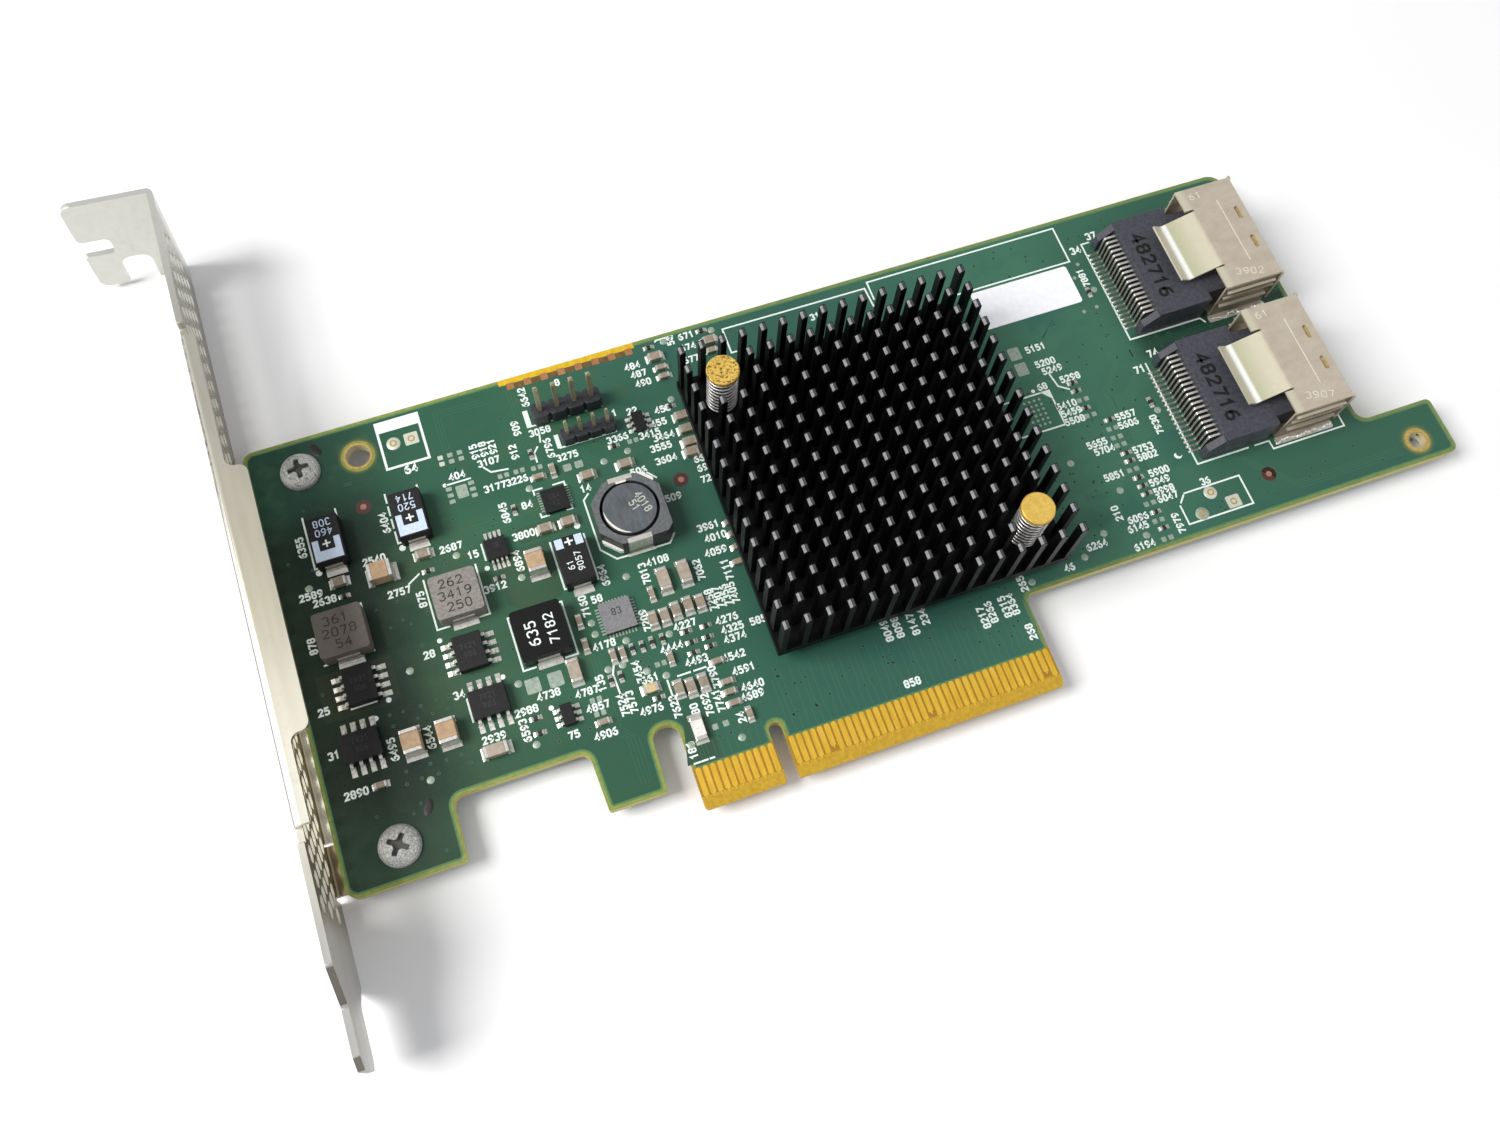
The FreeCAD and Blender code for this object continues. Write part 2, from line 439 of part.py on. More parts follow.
save("indicator_lamp_body", b)
save("indicator_lamp_ends", e)

# tantalum capacitors, long side along Y
tb, tt = [], []
for x, y in [(-49.3, 51.45), (-37.75, 51.57), (-18.26, 37.86)]:
    tb.append(slab_yz([(y - 3.5, 0.12, 0), (y + 3.5, 0.12, 0), (y + 3.5, 1.5, 0), (y + 3.38, 2.85, 0), (y - 3.38, 2.85, 0), (y - 3.5, 1.5, 0)], x - 2.15, x + 2.15))
    for s in (1, -1):
        ya, yb = sorted((y + s * 3.5, y + s * 3.65))
        yc, yd = sorted((y + s * 2.3, y + s * 3.65))
        tt.append(fuse([box(x - 1.2, x + 1.2, ya, yb, 0, 1.45), box(x - 1.2, x + 1.2, yc, yd, 0, 0.12)]))
save("tantalum_bodies", tb)
save("tantalum_terminals", tt)

# moulded inductors
gb, it = [], []


def moulded(x, y, wx, wy, h):
    b = slab_xy([(x - wx / 2, y - wy / 2, 0.5), (x + wx / 2, y - wy / 2, 0.5), (x + wx / 2, y + wy / 2, 0.5), (x - wx / 2, y + wy / 2, 0.5)], 0.12, h)
    for s in (1, -1):
        ya, yb = sorted((y + s * wy / 2, y + s * (wy / 2 + 0.15)))
        yc, yd = sorted((y + s * (wy / 2 - 1.3), y + s * (wy / 2 + 0.15)))
        it.append(fuse([box(x - 1.5, x + 1.5, ya, yb, 0, 1.6), box(x - 1.5, x + 1.5, yc, yd, 0, 0.12)]))
    return b


gb = [moulded(-50.4, 37.9, 6.6, 6.5, 3.0), moulded(-34.67, 38.1, 6.4, 6.3, 3.0)]
kb = moulded(-25.44, 29.47, 6.9, 7.1, 3.0)
save("grey_inductors", gb)
save("black_inductor", kb)
save("inductor_terminals", it)

# round power inductor
ix, iy = -8.95, 41.95
cx, cy = 4.95, 4.8
frame = slab_xy([(ix - cx + 2.5, iy - cy, 0.3), (ix + cx - 0.9, iy - cy, 0.5), (ix + cx, iy - cy + 0.9, 0.5), (ix + cx, iy + cy - 2.5, 0.3), (ix + cx - 2.5, iy + cy, 0.3),
                 (ix - cx + 2.5, iy + cy, 0.3), (ix - cx, iy + cy - 2.5, 0.3), (ix - cx, iy - cy + 2.5, 0.3)], 0.12, 4.0)
frame = frame.cut(cyl(ix, iy, 0.8, 6, 4.15))
save("power_inductor_frame", frame)
drum = fuse([cyl(ix, iy, 0.8, 3.2, 3.3), cyl(ix, iy, 3.2, 4.1, 3.72)])
save("power_inductor_core", drum)
pt = []
for s in (1, -1):
    ya, yb = sorted((iy + s * cy, iy + s * (cy + 0.2)))
    yc, yd = sorted((iy + s * (cy - 1.2), iy + s * (cy + 0.2)))
    ye, yf = sorted((iy + s * (cy - 0.5), iy + s * (cy + 0.2)))
    pt.append(fuse([box(ix - 1.7, ix + 1.7, ya, yb, 0, 4.12), box(ix - 1.7, ix + 1.7, yc, yd, 0, 0.12), box(ix - 1.7, ix + 1.7, ye, yf, 4.0, 4.12)]))
save("power_inductor_terminals", pt)


# packages with gull-wing leads
def gull(x, y, reach, width, z_in, direction):
    """One lead from the body side at (x, y) outwards."""
    pts = [(0, z_in + 0.08, 0), (0, z_in - 0.08, 0), (reach * 0.32, z_in - 0.08, 0), (reach * 0.5, 0, 0), (reach, 0, 0), (reach, 0.16, 0), (reach * 0.62, 0.16, 0), (reach * 0.44, z_in + 0.08, 0)]
    s = slab_xz(pts, -width / 2, width / 2)
    s.rotate(V(0, 0, 0), V(0, 0, 1), direction)
    s.translate(V(x, y, 0))
    return s


def gull_part(x, y, wx, wy, h, n, pitch, reach, width, sides_x):
    b = box(x - wx / 2, x + wx / 2, y - wy / 2, y + wy / 2, 0.1, h)
    ls = []
    for i in range(n):
        d = (i - (n - 1) / 2) * pitch
        for s in (0, 180):
            if sides_x:
                ls.append(gull(x + (wx / 2 if s == 0 else -wx / 2), y + d, reach, width, h * 0.5, s))
            else:
                ls.append(gull(x + d, y + (wy / 2 if s == 0 else -wy / 2), reach, width, h * 0.5, 90 if s == 0 else 270))
    return b, ls


qb, ql = [], []
for x, y, sx in [(-50.0, 30.4, True), (-35.2, 30.2, True), (-51.7, 22.5, False), (-34.6, 22.75, False)]:
    b, l = gull_part(x, y, 3.9 if sx else 4.9, 4.9 if sx else 3.9, 1.5, 4, 1.27, 1.1, 0.45, sx)
    qb.append(b)
    ql += l
save("transistor_bodies", qb)
save("transistor_leads", ql)
b, l = gull_part(-27.9, 43.5, 3.0, 3.0, 1.0, 4, 0.65, 0.95, 0.3, False)
save("regulator_chip_body", b)
save("regulator_chip_leads", l)
sb, sl = [], []
for x, y in [(-25.35, 17.8), (-3.3, 55.9)]:
    b, l = gull_part(x, y, 1.6, 2.9, 1.1, 3, 0.95, 0.6, 0.4, True)
    sb.append(b)
    sl += l
save("small_chip_bodies", sb)
save("small_chip_leads", sl)
save("flat_chip_dark", box(-18.15 - 1.75, -18.15 + 1.75, 48.0 - 1.75, 48.0 + 1.75, 0, 0.85))
save("flat_chip_grey", box(-15.05 - 2.2, -15.05 + 2.2, 28.8 - 2.2, 28.8 + 2.2, 0, 0.9))
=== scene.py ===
import math
import random

import bpy
import bmesh
from mathutils import Matrix, Vector


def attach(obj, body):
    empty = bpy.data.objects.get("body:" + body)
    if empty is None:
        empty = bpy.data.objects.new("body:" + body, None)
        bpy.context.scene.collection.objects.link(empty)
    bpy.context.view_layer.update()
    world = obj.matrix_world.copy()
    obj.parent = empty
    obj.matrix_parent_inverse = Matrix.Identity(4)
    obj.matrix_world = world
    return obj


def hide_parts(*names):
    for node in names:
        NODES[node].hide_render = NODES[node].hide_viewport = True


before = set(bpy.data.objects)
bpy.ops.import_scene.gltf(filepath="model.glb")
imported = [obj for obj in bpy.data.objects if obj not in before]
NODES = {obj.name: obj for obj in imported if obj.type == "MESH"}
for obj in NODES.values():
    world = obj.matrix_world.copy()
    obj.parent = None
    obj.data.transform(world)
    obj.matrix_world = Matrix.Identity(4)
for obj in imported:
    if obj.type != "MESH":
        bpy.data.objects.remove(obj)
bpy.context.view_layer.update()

MM = 0.001
scene = bpy.context.scene

# ------------------------------------------------------------------ mesh helpers (all sizes in millimetres)


def signed_area(pts):
    return 0.5 * sum(pts[i - 1][0] * pts[i][1] - pts[i][0] * pts[i - 1][1] for i in range(len(pts)))


class Shape:
    """Collects closed solids for one piece."""

    def __init__(self):
        self.v, self.f, self.s = [], [], []

    def add(self, verts, faces, smooth=False):
        k = len(self.v)
        self.v += [(x * MM, y * MM, z * MM) for x, y, z in verts]
        self.f += [tuple(i + k for i in f) for f in faces]
        self.s += [smooth] * len(faces)

    def prism(self, pts, z0, z1):
        pts = list(pts)
        if signed_area(pts) < 0:
            pts.reverse()
        n = len(pts)
        v = [(x, y, z0) for x, y in pts] + [(x, y, z1) for x, y in pts]
        f = [tuple(range(n - 1, -1, -1)), tuple(range(n, 2 * n))]
        f += [(i, (i + 1) % n, n + (i + 1) % n, n + i) for i in range(n)]
        self.add(v, f)

    def box(self, x0, x1, y0, y1, z0, z1):
        self.prism([(x0, y0), (x1, y0), (x1, y1), (x0, y1)], z0, z1)

    def rounded(self, x0, x1, y0, y1, r, z0, z1, n=5):
        pts = []
        for cx, cy, a0 in ((x1 - r, y0 + r, -90), (x1 - r, y1 - r, 0), (x0 + r, y1 - r, 90), (x0 + r, y0 + r, 180)):
            for k in range(n + 1):
                a = math.radians(a0 + 90 * k / n)
                pts.append((cx + r * math.cos(a), cy + r * math.sin(a)))
        self.prism(pts, z0, z1)

    def disc(self, x, y, r, z0, z1, n=16):
        self.prism([(x + r * math.cos(2 * math.pi * k / n), y + r * math.sin(2 * math.pi * k / n)) for k in range(n)], z0, z1)

    def ring(self, x, y, r0, r1, z0, z1, n=28):
        v, f = [], []
        for r, z in ((r0, z0), (r1, z0), (r1, z1), (r0, z1)):
            v += [(x + r * math.cos(2 * math.pi * k / n), y + r * math.sin(2 * math.pi * k / n), z) for k in range(n)]
        for a in range(4):
            b = (a + 1) % 4
            for k in range(n):
                m = (k + 1) % n
                f.append((a * n + k, b * n + k, b * n + m, a * n + m)[::-1])
        self.add(v, f)

    def dome(self, x, y, rx, ry, h, z0=0.0, n=14, m=4, turn=0.0):
        v, f = [], []
        ct, st = math.cos(turn), math.sin(turn)
        for j in range(m):
            a = math.pi / 2 * j / m
            for k in range(n):
                b = 2 * math.pi * k / n
                px, py = rx * math.cos(a) * math.cos(b), ry * math.cos(a) * math.sin(b)
                v.append((x + px * ct - py * st, y + px * st + py * ct, z0 + h * math.sin(a)))
        v.append((x, y, z0 + h))
        for j in range(m - 1):
            for k in range(n):
                f.append((j * n + k, j * n + (k + 1) % n, (j + 1) * n + (k + 1) % n, (j + 1) * n + k))
        f += [((m - 1) * n + k, (m - 1) * n + (k + 1) % n, m * n) for k in range(n)]
        self.add(v, f, True)
        self.add([(p[0], p[1], p[2]) for p in v[:n]], [tuple(range(n - 1, -1, -1))])

    def lathe(self, x, y, prof, n=20):
        """Closed solid of revolution; prof runs from the axis out and back to the axis, upwards."""
        v, f = [], []
        for r, z in prof:
            v += [(x + r * math.cos(2 * math.pi * k / n), y + r * math.sin(2 * math.pi * k / n), z) for k in range(n)]
        for j in range(len(prof) - 1):
            for k in range(n):
                m = (k + 1) % n
                f.append((j * n + k, j * n + m, (j + 1) * n + m, (j + 1) * n + k))
        f.append(tuple(range(n - 1, -1, -1)))
        f.append(tuple((len(prof) - 1) * n + k for k in range(n)))
        self.add(v, f, True)

    def ribbon(self, pts, w, z0, z1, closed=False):
        n = len(pts)
        h = w / 2
        sides = []
        for i in range(n):
            a = pts[i - 1] if (closed or i > 0) else None
            b = pts[(i + 1) % n] if (closed or i < n - 1) else None
            p = pts[i]
            dirs = []
            if a is not None:
                d = math.hypot(p[0] - a[0], p[1] - a[1]) or 1.0
                dirs.append(((p[0] - a[0]) / d, (p[1] - a[1]) / d))
            if b is not None:
                d = math.hypot(b[0] - p[0], b[1] - p[1]) or 1.0
                dirs.append(((b[0] - p[0]) / d, (b[1] - p[1]) / d))
            if len(dirs) == 2:
                nx, ny = -(dirs[0][1] + dirs[1][1]), dirs[0][0] + dirs[1][0]
                q = math.hypot(nx, ny)
                if q < 1e-6:
                    nx, ny, k = -dirs[0][1], dirs[0][0], 1.0
                else:
                    nx, ny = nx / q, ny / q
                    k = 1.0 / max(0.45, nx * -dirs[0][1] + ny * dirs[0][0])
                c = p
            else:
                nx, ny, k = -dirs[0][1], dirs[0][0], 1.0
                e = h * 0.6 if a is not None else -h * 0.6
                c = (p[0] + dirs[0][0] * e, p[1] + dirs[0][1] * e)
            sides.append(((c[0] + nx * h * k, c[1] + ny * h * k), (c[0] - nx * h * k, c[1] - ny * h * k)))
        v = []
        for l, r in sides:
            v += [(l[0], l[1], z0), (r[0], r[1], z0), (l[0], l[1], z1), (r[0], r[1], z1)]
        f = []
        for i in range(n if closed else n - 1):
            a, b = 4 * i, 4 * ((i + 1) % n)
            f += [(a + 2, a + 3, b + 3, b + 2), (a, b, b + 1, a + 1), (a, a + 2, b + 2, b), (a + 1, b + 1, b + 3, a + 3)]
        if not closed:
            e = 4 * (n - 1)
            f += [(0, 1, 3, 2), (e, e + 2, e + 3, e + 1)]
        self.add(v, f)


DIGIT = {
    "0": [[(0, .18), (0, .82), (.16, 1), (.44, 1), (.6, .82), (.6, .18), (.44, 0), (.16, 0)]],
    "1": [[(.08, .8), (.32, 1), (.32, 0)]],
    "2": [[(0, .8), (.14, 1), (.46, 1), (.6, .84), (.6, .64), (0, .02), (.62, .02)]],
    "3": [[(0, .9), (.16, 1), (.46, 1), (.6, .84), (.6, .66), (.44, .53), (.6, .38), (.6, .16), (.46, 0), (.14, 0), (0, .12)]],
    "4": [[(.46, 0), (.46, 1), (0, .32), (.64, .32)]],
    "5": [[(.56, 1), (.06, 1), (.04, .58), (.4, .62), (.6, .46), (.6, .16), (.44, 0), (.14, 0), (0, .12)]],
    "6": [[(.5, 1), (.16, .86), (0, .56), (0, .16), (.16, 0), (.44, 0), (.6, .16), (.6, .4), (.44, .55), (.16, .55), (.02, .42)]],
    "7": [[(0, .98), (.6, .98), (.24, 0)]],
    "8": [[(.16, .53), (0, .66), (0, .86), (.16, 1), (.44, 1), (.6, .86), (.6, .66), (.44, .53), (.6, .38), (.6, .16), (.44, 0), (.16, 0), (0, .16), (0, .38)]],
    "9": [[(.1, 0), (.44, .14), (.6, .44), (.6, .84), (.44, 1), (.16, 1), (0, .84), (0, .6), (.16, .45), (.44, .45), (.58, .58)]],
}
LOOPED = ("0", "8")


def digits(shape, text, cx, cy, h, pitch, w, z0, z1, turn=0.0):
    """Row of digits centred on (cx, cy); turn in degrees."""
    ct, st = math.cos(math.radians(turn)), math.sin(math.radians(turn))
    glyph = pitch * 0.6
    total = pitch * (len(text) - 1) + glyph
    for i, ch in enumerate(text):
        ox = -total / 2 + i * pitch
        for line in DIGIT[ch]:
            pts = []
            for u, v in line:
                x, y = ox + u / 0.6 * glyph, (v - 0.5) * h
                pts.append((cx + x * ct - y * st, cy + x * st + y * ct))
            shape.ribbon(pts, w, z0, z1, closed=ch in LOOPED)


def corners(pts, n=6):
    """Polygon (x, y, corner radius) with its corners rounded."""
    out = []
    m = len(pts)
    for i in range(m):
        x, y, r = pts[i]
        if r <= 0:
            out.append((x, y))
            continue
        p = Vector((x, y))
        a = (Vector(pts[i - 1][:2]) - p).normalized()
        b = (Vector(pts[(i + 1) % m][:2]) - p).normalized()
        ang = math.acos(max(-1, min(1, a.dot(b))))
        d = r / math.tan(ang / 2)
        c = p + (a + b).normalized() * (r / math.sin(ang / 2))
        s, e = p + a * d - c, p + b * d - c
        a0, a1 = math.atan2(s.y, s.x), math.atan2(e.y, e.x)
        sweep = (a1 - a0 + math.pi) % (2 * math.pi) - math.pi
        for k in range(n + 1):
            t = a0 + sweep * k / n
            out.append((c.x + r * math.cos(t), c.y + r * math.sin(t)))
    return out


def circle(x, y, r, n=40):
    return [(x + r * math.cos(2 * math.pi * k / n), y + r * math.sin(2 * math.pi * k / n)) for k in range(n)]


def take(name, me, mat, replaces=()):
    me.materials.clear()
    me.materials.append(mat)
    ob = bpy.data.objects.new(name, me)
    scene.collection.objects.link(ob)
    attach(ob, "root")
    if replaces:
        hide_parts(*replaces)
    return ob


def piece(name, shape, mat, replaces=()):
    me = bpy.data.meshes.new(name)
    me.from_pydata(shape.v, [], shape.f)
    me.polygons.foreach_set("use_smooth", shape.s)
    me.update()
    return take(name, me, mat, replaces)


def sheet_piece(name, loops, z0, z1, mat):
    """Thin closed plate with an outer loop and holes."""
    cu = bpy.data.curves.new(name + "_outline", "CURVE")
    cu.dimensions = "2D"
    cu.fill_mode = "BOTH"
    cu.extrude = (z1 - z0) / 2 * MM
    for loop in loops:
        sp = cu.splines.new("POLY")
        sp.points.add(len(loop) - 1)
        for q, (x, y) in zip(sp.points, loop):
            q.co = (x * MM, y * MM, 0, 1)
        sp.use_cyclic_u = True
    ob = bpy.data.objects.new(name + "_outline", cu)
    scene.collection.objects.link(ob)
    me = bpy.data.meshes.new_from_object(ob.evaluated_get(bpy.context.evaluated_depsgraph_get()))
    bpy.data.objects.remove(ob)
    bpy.data.curves.remove(cu)
    me.name = name
    me.transform(Matrix.Translation((0, 0, (z0 + z1) / 2 * MM)))
    bm = bmesh.new()
    bm.from_mesh(me)
    bmesh.ops.remove_doubles(bm, verts=bm.verts, dist=1e-7)
    bmesh.ops.recalc_face_normals(bm, faces=bm.faces)
    bm.to_mesh(me)
    bm.free()
    return take(name, me, mat)


# ------------------------------------------------------------------ materials


def lin(c):
    out = []
    for v in c:
        v /= 255.0
        out.append(v / 12.92 if v <= 0.04045 else ((v + 0.055) / 1.055) ** 2.4)
    return (*out, 1.0)


class Mat:
    def __init__(self, name):
        self.m = bpy.data.materials.new(name)
        self.m.use_nodes = True
        self.t = self.m.node_tree
        self.b = self.t.nodes["Principled BSDF"]
        co = self.t.nodes.new("ShaderNodeTexCoord")
        mp = self.t.nodes.new("ShaderNodeMapping")
        mp.inputs["Scale"].default_value = (1000, 1000, 1000)
        self.t.links.new(co.outputs["Object"], mp.inputs["Vector"])
        self.mm = mp.outputs["Vector"]
        self.split = None

    def xyz(self, axis):
        if self.split is None:
            self.split = self.t.nodes.new("ShaderNodeSeparateXYZ")
            self.t.links.new(self.mm, self.split.inputs[0])
        return self.split.outputs[axis]

    def link(self, a, b):
        self.t.links.new(a, b)

    def noise(self, scale, detail=4.0, rough=0.55, stretch=None, distort=0.0):
        n = self.t.nodes.new("ShaderNodeTexNoise")
        n.inputs["Scale"].default_value = scale
        n.inputs["Detail"].default_value = detail
        n.inputs["Roughness"].default_value = rough
        n.inputs["Distortion"].default_value = distort
        src = self.mm
        if stretch:
            s = self.t.nodes.new("ShaderNodeMapping")
            s.inputs["Scale"].default_value = stretch
            self.link(src, s.inputs["Vector"])
            src = s.outputs["Vector"]
        self.link(src, n.inputs["Vector"])
        return n.outputs["Fac"]

    def cells(self, scale, feature="F1", rand=1.0):
        n = self.t.nodes.new("ShaderNodeTexVoronoi")
        n.feature = feature
        n.inputs["Scale"].default_value = scale
        n.inputs["Randomness"].default_value = rand
        self.link(self.mm, n.inputs["Vector"])
        return n.outputs["Distance"]

    def ramp(self, fac, stops, smooth=False):
        r = self.t.nodes.new("ShaderNodeValToRGB")
        if smooth:
            r.color_ramp.interpolation = "EASE"
        e = r.color_ramp.elements
        while len(e) < len(stops):
            e.new(0.5)
        for el, (p, c) in zip(e, stops):
            el.position = p
            el.color = c if len(c) == 4 else lin(c)
        self.link(fac, r.inputs["Fac"])
        return r.outputs["Color"]

    def span(self, fac, a, b, lo, hi, smooth=False):
        r = self.t.nodes.new("ShaderNodeMapRange")
        r.interpolation_type = "SMOOTHSTEP" if smooth else "LINEAR"
        for k, v in zip(("From Min", "From Max", "To Min", "To Max"), (a, b, lo, hi)):
            r.inputs[k].default_value = v
        self.link(fac, r.inputs["Value"])
        return r.outputs["Result"]

    def math(self, op, a, b):
        n = self.t.nodes.new("ShaderNodeMath")
        n.operation = op
        for i, v in enumerate((a, b)):
            if isinstance(v, (int, float)):
                n.inputs[i].default_value = v
            else:
                self.link(v, n.inputs[i])
        return n.outputs[0]

    def mix(self, fac, a, b, mode="MIX"):
        n = self.t.nodes.new("ShaderNodeMix")
        n.data_type = "RGBA"
        n.blend_type = mode
        for i, v in ((0, fac), (6, a), (7, b)):
            if isinstance(v, (int, float)):
                n.inputs[i].default_value = v
            elif isinstance(v, tuple):
                n.inputs[i].default_value = v if len(v) == 4 else lin(v)
            else:
                self.link(v, n.inputs[i])
        return n.outputs[2]

    def color(self, c):
        self.link(c, self.b.inputs["Base Color"])

    def rough(self, fac, lo, hi, a=0.3, b=0.7):
        self.link(self.span(fac, a, b, lo, hi), self.b.inputs["Roughness"])

    def bump(self, fac, strength, dist):
        n = self.t.nodes.new("ShaderNodeBump")
        n.inputs["Strength"].default_value = strength
        n.inputs["Distance"].default_value = dist * MM
        self.link(fac, n.inputs["Height"])
        self.link(n.outputs["Normal"], self.b.inputs["Normal"])

    def fixed(self, **kw):
        for k, v in kw.items():
            self.b.inputs[{"metal": "Metallic", "spec": "Specular IOR Level", "ior": "IOR", "coat": "Coat Weight", "coat_rough": "Coat Roughness",
                           "sss": "Subsurface Weight", "sss_r": "Subsurface Scale"}[k]].default_value = v


def surface(name, c1, c2, rough=(0.35, 0.5), metal=0.0, scale=1.5, bump=(0.2, 0.02), spec=0.5, specks=None, stretch=None, coat=0.0, detail=5.0):
    """Two-tone noise colour, varied roughness and fine bump; specks is (colour, cells per mm, reach)."""
    m = Mat(name)
    n1 = m.noise(scale, detail, 0.6, stretch)
    n2 = m.noise(scale * 3.7, 3.0, 0.6, stretch)
    col = m.ramp(n1, [(0.3, c1), (0.7, c2)])
    if specks:
        d = m.cells(specks[1])
        col = m.mix(m.span(d, specks[2] * 0.6, specks[2], 0.85, 0.0), col, specks[0])
    m.color(col)
    m.rough(n2, *rough)
    m.bump(n2, *bump)
    m.fixed(metal=metal, spec=spec)
    if coat:
        m.fixed(coat=coat, coat_rough=0.15)
    return m


def board_green(name, lift):
    """Green varnish over copper: tone changes along the card, darkest at the bracket end where it is partly painted
    shadow of the bracket; cloudy patches; fine weave; lift is a step of brightness.
    """
    m = Mat(name)
    wave = m.noise(0.055, 3.0, 0.5)
    x = m.math("ADD", m.xyz("X"), m.math("MULTIPLY", m.math("SUBTRACT", wave, 0.5), 30.0))
    f = m.span(x, -58.0, 110.0, 0.0, 1.0)
    # Tone along the card; the dark start at the bracket end is painted shadow of the bracket.
    col = m.ramp(f, [(0.0, (24, 48, 35)), (0.05, (28, 54, 39)), (0.1, (46, 80, 58)), (0.16, (50, 93, 69)), (0.24, (48, 94, 71)), (0.34, (48, 93, 77)),
                     (0.5, (48, 91, 79)), (0.6, (58, 103, 84)), (0.7, (60, 108, 87)), (0.78, (52, 95, 77)), (0.88, (48, 90, 72)), (1.0, (48, 91, 72))])
    cloud = m.noise(0.16, 4.0, 0.6)
    zone = m.math("MULTIPLY", m.span(m.xyz("X"), -28.0, -33.0, 0.0, 1.0, True), m.span(m.xyz("Y"), 50.0, 42.0, 0.0, 1.0, True))
    olive = m.math("MULTIPLY", m.span(cloud, 0.4, 0.6, 0.1, 0.7, True), zone)
    col = m.mix(olive, col, (62, 84, 57))
    haze = m.math("MULTIPLY", m.span(m.noise(0.3, 4.0, 0.6), 0.5, 0.66, 0.0, 0.4, True), m.span(m.xyz("X"), 8.0, -4.0, 0.0, 1.0, True))
    col = m.mix(haze, col, (68, 92, 64))
    teal = m.math("MULTIPLY", m.span(m.noise(0.12, 3.0, 0.5), 0.52, 0.68, 0.0, 0.5, True), m.span(m.xyz("X"), -30.0, 20.0, 0.2, 1.0))
    col = m.mix(teal, col, (36, 88, 80))
    # Painted shade on the top face between the two ports.
    port_gap_shade = m.math("MULTIPLY", m.span(m.xyz("X"), 69.5, 74.0, 0.0, 1.0, True), m.math("MULTIPLY", m.span(m.xyz("Y"), 41.2, 42.6, 0.0, 1.0, True), m.span(m.xyz("Y"), 45.8, 47.0, 1.0, 0.0, True)))
    front = m.span(m.xyz("Z"), -1.0, -0.5, 0.0, 1.0)
    col = m.mix(m.math("MULTIPLY", m.math("MULTIPLY", port_gap_shade, front), 0.78), col, (20, 48, 36))
    # Painted shadow of the bracket: a dark strip beside it on the top face.
    strip_x = m.math("ADD", m.xyz("X"), m.math("MULTIPLY", m.math("SUBTRACT", cloud, 0.5), 7.0))
    above = m.math("MULTIPLY", m.span(m.xyz("Y"), 47.0, 54.0, 0.0, 0.34, True), m.span(m.xyz("X"), -19.0, -26.0, 0.0, 1.0, True))
    col = m.mix(above, col, (24, 76, 62))
    below = m.math("MULTIPLY", m.span(m.xyz("Y"), 21.0, 13.0, 0.0, 0.36, True), m.span(m.xyz("X"), -6.0, -10.0, 0.0, 1.0, True))
    col = m.mix(below, col, (28, 62, 42))
    shade = m.math("MULTIPLY", m.span(strip_x, -36.5, -47.5, 0.0, 0.9, True), m.math("MULTIPLY", m.span(m.xyz("Y"), 61.0, 52.0, 0.0, 1.0, True), m.span(m.xyz("Y"), 8.0, 18.0, 0.35, 1.0, True)))
    col = m.mix(m.math("MULTIPLY", shade, front), col, (7, 23, 13))
    grain = m.math("MULTIPLY", m.math("SUBTRACT", m.noise(4.0, 3.0, 0.6), 0.5), 0.5)
    for hx, hy, r0, r1 in ((-42.6, 63.6, 2.1, 3.0), (104.1, 16.9, 1.7, 2.7)):
        dx, dy = m.math("SUBTRACT", m.xyz("X"), hx), m.math("SUBTRACT", m.xyz("Y"), hy)
        d = m.math("SQRT", m.math("ADD", m.math("MULTIPLY", dx, dx), m.math("MULTIPLY", dy, dy)), 0.0)
        near = m.span(m.math("ADD", d, grain), r0, r1, 0.75, 0.0, True)
        col = m.mix(near, col, (134, 120, 58))
    weave = m.noise(5.0, 3.0, 0.6)
    col = m.mix(m.span(weave, 0.3, 0.7, 0.0, 0.14), col, (62, 112, 86))
    if lift:
        col = m.mix(abs(lift), col, (110, 160, 120) if lift > 0 else (60, 62, 40))
    m.color(col)
    m.rough(weave, 0.3, 0.42)
    m.bump(m.noise(1.6, 3.0, 0.5), 0.12, 0.02)
    m.fixed(spec=0.34)
    return m


